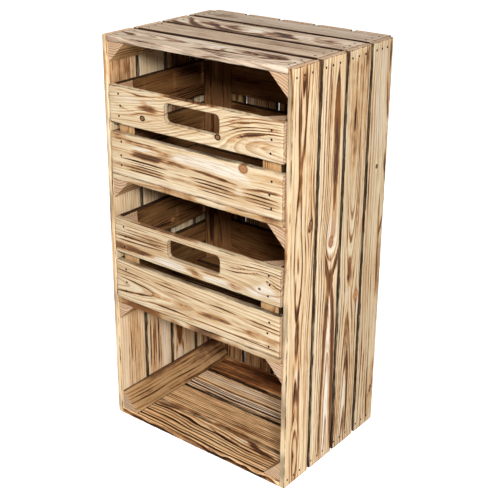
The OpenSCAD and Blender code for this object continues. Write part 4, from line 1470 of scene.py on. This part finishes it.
def scorch_rim(piece, slot_low, slot_high):
    """Scorches the slot's rim on both faces of the board, through the third value of edges."""
    points = points_of(piece)
    middle, half = (slot_low + slot_high) / 2, (slot_high - slot_low) / 2
    x = np.maximum(np.abs(points[:, 0] - middle[0]) - (half[0] - SLOT_CORNER), 0)
    z = np.maximum(np.abs(points[:, 2] - middle[2]) - (half[2] - SLOT_CORNER), 0)
    from_rim = np.abs(np.hypot(x, z) - SLOT_CORNER)
    burnt = RIM_BURN * np.clip(1.5 - from_rim / RIM_FADE, 0, 1)
    layer = piece.data.attributes["edges"].data
    values = np.empty(len(points) * 3, np.float32)
    layer.foreach_get("vector", values)
    values = values.reshape(-1, 3)
    values[:, 2] = burnt
    layer.foreach_set("vector", values.ravel())


for node in SLOTTED:
    slotted_board(node)
print("Boards with a hand slot:", SLOTTED)

# %% [markdown]
# ## Triangular strips, runners and posts
# Squared bars sawn corner to corner hold the crate together in its corners, carry the drawers with
# their flat side up, and stand in the drawers' corners. So each starts as a square bar, and one
# cut from corner to corner leaves the triangle, a little short of the corners, as a saw leaves it.

# %% Split a bar
BLUNT = 0.9 * MM
BAR_EASING = 0.35 * MM
BAR_CUT_EVERY = 4 * MM


def split_bar(name, low, high, axes, kept):
    """A bar cut corner to corner. kept says which of its sides meet in the corner that stays."""
    piece = block(name, low, high)
    _, across, through = axes
    away = Vector((0, 0, 0))
    away[across], away[through] = -kept[0], -kept[1]
    away.normalize()
    edit()
    bpy.ops.mesh.select_all(action="SELECT")
    saw = (low + high) / 2 - away * BLUNT
    bpy.ops.mesh.bisect(plane_co=saw, plane_no=away, use_fill=True, clear_outer=True)
    done()
    ease_edges(BAR_EASING, 1)
    station_cuts(low, high, axes[0], CUT_EVERY)
    station_cuts(low, high, across, BAR_CUT_EVERY)
    displace(piece, SAW_WANDER, BAR_WANDER, "XYZ"[across])
    keep_inside(piece, low, high)
    bpy.ops.object.shade_smooth_by_angle(angle=math.radians(30))
    return piece


def kept_corner(points, low, high, axes):
    """Which side of a bar's box, across and through, the CAD triangle's square corner is on."""
    middle = (low + high) / 2
    return tuple(1 if np.mean(points[:, axis]) > middle[axis] else -1 for axis in axes[1:])


print(f"A saw leaves a bar's two sharp corners {BLUNT / MM:.1f} mm blunt.")

# %% Strips, runners and posts
STRIP_AXES = (1, 2, 0)
POST_AXES = (2, 0, 1)


def corner_strip(node):
    """A strip or a runner along the cabinet's depth."""
    low, high = node_box(node)
    kept = kept_corner(node_points(node), low, high, STRIP_AXES)
    piece = split_bar(node + "_wood", low, high, STRIP_AXES, kept)
    give_grain(piece, node, low, high, STRIP_AXES)
    fit_out(piece, node)


def drawer_posts(node):
    """The two posts at a drawer's front or back, joined to one piece."""
    points = node_points(node)
    skin = Vector((SKIN, SKIN, SKIN))
    halves = []
    for side in (-1, 1):
        own = points[points[:, 0] * side > 0]
        low, high = Vector(own.min(axis=0)) + skin, Vector(own.max(axis=0)) - skin
        half = split_bar(node + "_wood", low, high, POST_AXES, kept_corner(own, low, high, POST_AXES))
        give_grain(half, f"{node} {side}", low, high, POST_AXES)
        halves.append(half)
    bpy.ops.object.select_all(action="DESELECT")
    for half in halves:
        half.select_set(True)
    bpy.ops.object.join()
    # The back posts take the drawer walls' dark wood, which is painted shade for the drawer's shaded inside.
    fit_out(active(), node, WOODS["drawer_pine"] if "back" in node else None)


bars = [n for n in frame["nodes"] if n.endswith(("strip", "runner"))]
for node in bars:
    corner_strip(node)
posts = [n for n in frame["nodes"] if n.endswith("posts")]
for node in posts:
    drawer_posts(node)
print("Strips and runners:", len(bars), "posts:", len(posts))

# %% [markdown]
# ## Nails
# The boards are held by round wire nails, driven home and browned by the flame. One nail is made
# from a disc: its rim is eased, the underside of its head tapers to the shank, and the shank is
# drawn out to a point. It is copied to each place where the CAD has a nail.

# %% Forge a nail
HEAD_RADIUS = 2.15 * MM
SHANK_RADIUS = 0.9 * MM
SHANK_LENGTH = 24 * MM
POINT_LENGTH = 3.6 * MM
FLAT_SHARE = 0.9


def extruded(drop, scale):
    """Draws the selected face down by drop and scales its outline."""
    bpy.ops.mesh.extrude_region_move(TRANSFORM_OT_translate={"value": (0, 0, -drop)})
    bpy.ops.transform.resize(value=(scale, scale, 1.0))


def forge_nail():
    """A nail whose head lies at the origin and whose point is straight below."""
    bpy.ops.object.select_all(action="DESELECT")
    bpy.ops.mesh.primitive_circle_add(vertices=10, radius=HEAD_RADIUS * FLAT_SHARE, fill_type="NGON",
                                      location=(0, 0, 0))
    nail = active()
    edit()
    bpy.ops.mesh.select_all(action="SELECT")
    extruded(0.2 * MM, 1 / FLAT_SHARE)
    extruded(0.5 * MM, 1.0)
    extruded(0.5 * MM, SHANK_RADIUS / HEAD_RADIUS)
    extruded(SHANK_LENGTH, 1.0)
    extruded(POINT_LENGTH, 0.1)
    done()
    return nail


nail = forge_nail()
print("The nail has", len(nail.data.polygons), "faces.")

# %% Flame-browned steel
def nail_material():
    """Steel blackened and browned by the flame, with a little metal showing through."""
    material = bpy.data.materials.new("nail_steel")
    material.use_nodes = True
    w = Wiring(material.node_tree)
    shader = material.node_tree.nodes["Principled BSDF"]
    place = w.node("TexCoord").outputs["Object"]
    rust = w.ramp(w.noise(place, 900.0, 3.0, 0.6), 0.40, 0.62)
    w.feed(shader.inputs["Base Color"], w.mix(rust, paint(44, 35, 28), paint(34, 22, 15)))
    w.feed(shader.inputs["Metallic"], w.ramp(rust, 0.0, 1.0, 0.3, 0.0))
    w.feed(shader.inputs["Roughness"], w.ramp(rust, 0.0, 1.0, 0.65, 0.9))
    shader.inputs["Specular IOR Level"].default_value = 0.1
    bump = w.node("Bump")
    bump.inputs["Distance"].default_value = 0.05 * MM
    w.feed(bump.inputs["Height"], w.noise(place, 2500.0, 2.0))
    w.feed(shader.inputs["Normal"], bump.outputs["Normal"])
    return material


steel = nail_material()
print("The nails' material is", steel.name)

# %% Drive the nails
def head_and_way(points):
    """The middle of a CAD nail's head, and the way the nail points. The head is its wide end."""
    low, high = points.min(axis=0), points.max(axis=0)
    axis = int(np.argmax(high - low))
    square = [i for i in range(3) if i != axis]
    spread = [np.ptp(points[np.abs(points[:, axis] - end[axis]) < 0.1 * MM][:, square])
              for end in (low, high)]
    head_is_low = spread[0] > spread[1]
    way = Vector((0, 0, 0))
    way[axis] = 1.0 if head_is_low else -1.0
    head = Vector((low + high) / 2)
    head[axis] = low[axis] if head_is_low else high[axis]
    return head, way


def nail_places(node):
    """Each nail of a CAD node, as the middle of its head and the way it points."""
    bpy.ops.object.select_all(action="DESELECT")
    spare = frame["nodes"][node].copy()
    spare.data = spare.data.copy()
    bpy.context.scene.collection.objects.link(spare)
    spare.hide_set(False)
    spare.select_set(True)
    bpy.context.view_layer.objects.active = spare
    edit()
    bpy.ops.mesh.select_all(action="SELECT")
    bpy.ops.mesh.remove_doubles(threshold=CLOSE)
    bpy.ops.mesh.separate(type="LOOSE")
    done()
    places = []
    for one in list(bpy.context.selected_objects):
        places.append(head_and_way(points_of(one)))
        bpy.data.objects.remove(one)
    return places


def drive_nails(node, nail, material):
    """A copy of the nail at every place of a CAD node, joined to one piece."""
    copies = []
    for head, way in sorted(nail_places(node), key=lambda p: tuple(p[0])):
        one = nail.copy()
        one.data = nail.data.copy()
        one.data.transform(way.to_track_quat("-Z", "Y").to_matrix().to_4x4())
        one.data.transform(Matrix.Translation(head))
        bpy.context.scene.collection.objects.link(one)
        copies.append(one)
    bpy.ops.object.select_all(action="DESELECT")
    for one in copies:
        one.select_set(True)
    bpy.context.view_layer.objects.active = copies[0]
    bpy.ops.object.join()
    piece = active()
    piece.name = piece.data.name = node + "_wire"
    bpy.ops.object.shade_smooth_by_angle(angle=math.radians(35))
    fit_out(piece, node, material)
    return len(copies)


for node in [n for n in frame["nodes"] if n.endswith("nails")]:
    print(node, drive_nails(node, nail, steel))
bpy.data.objects.remove(nail)
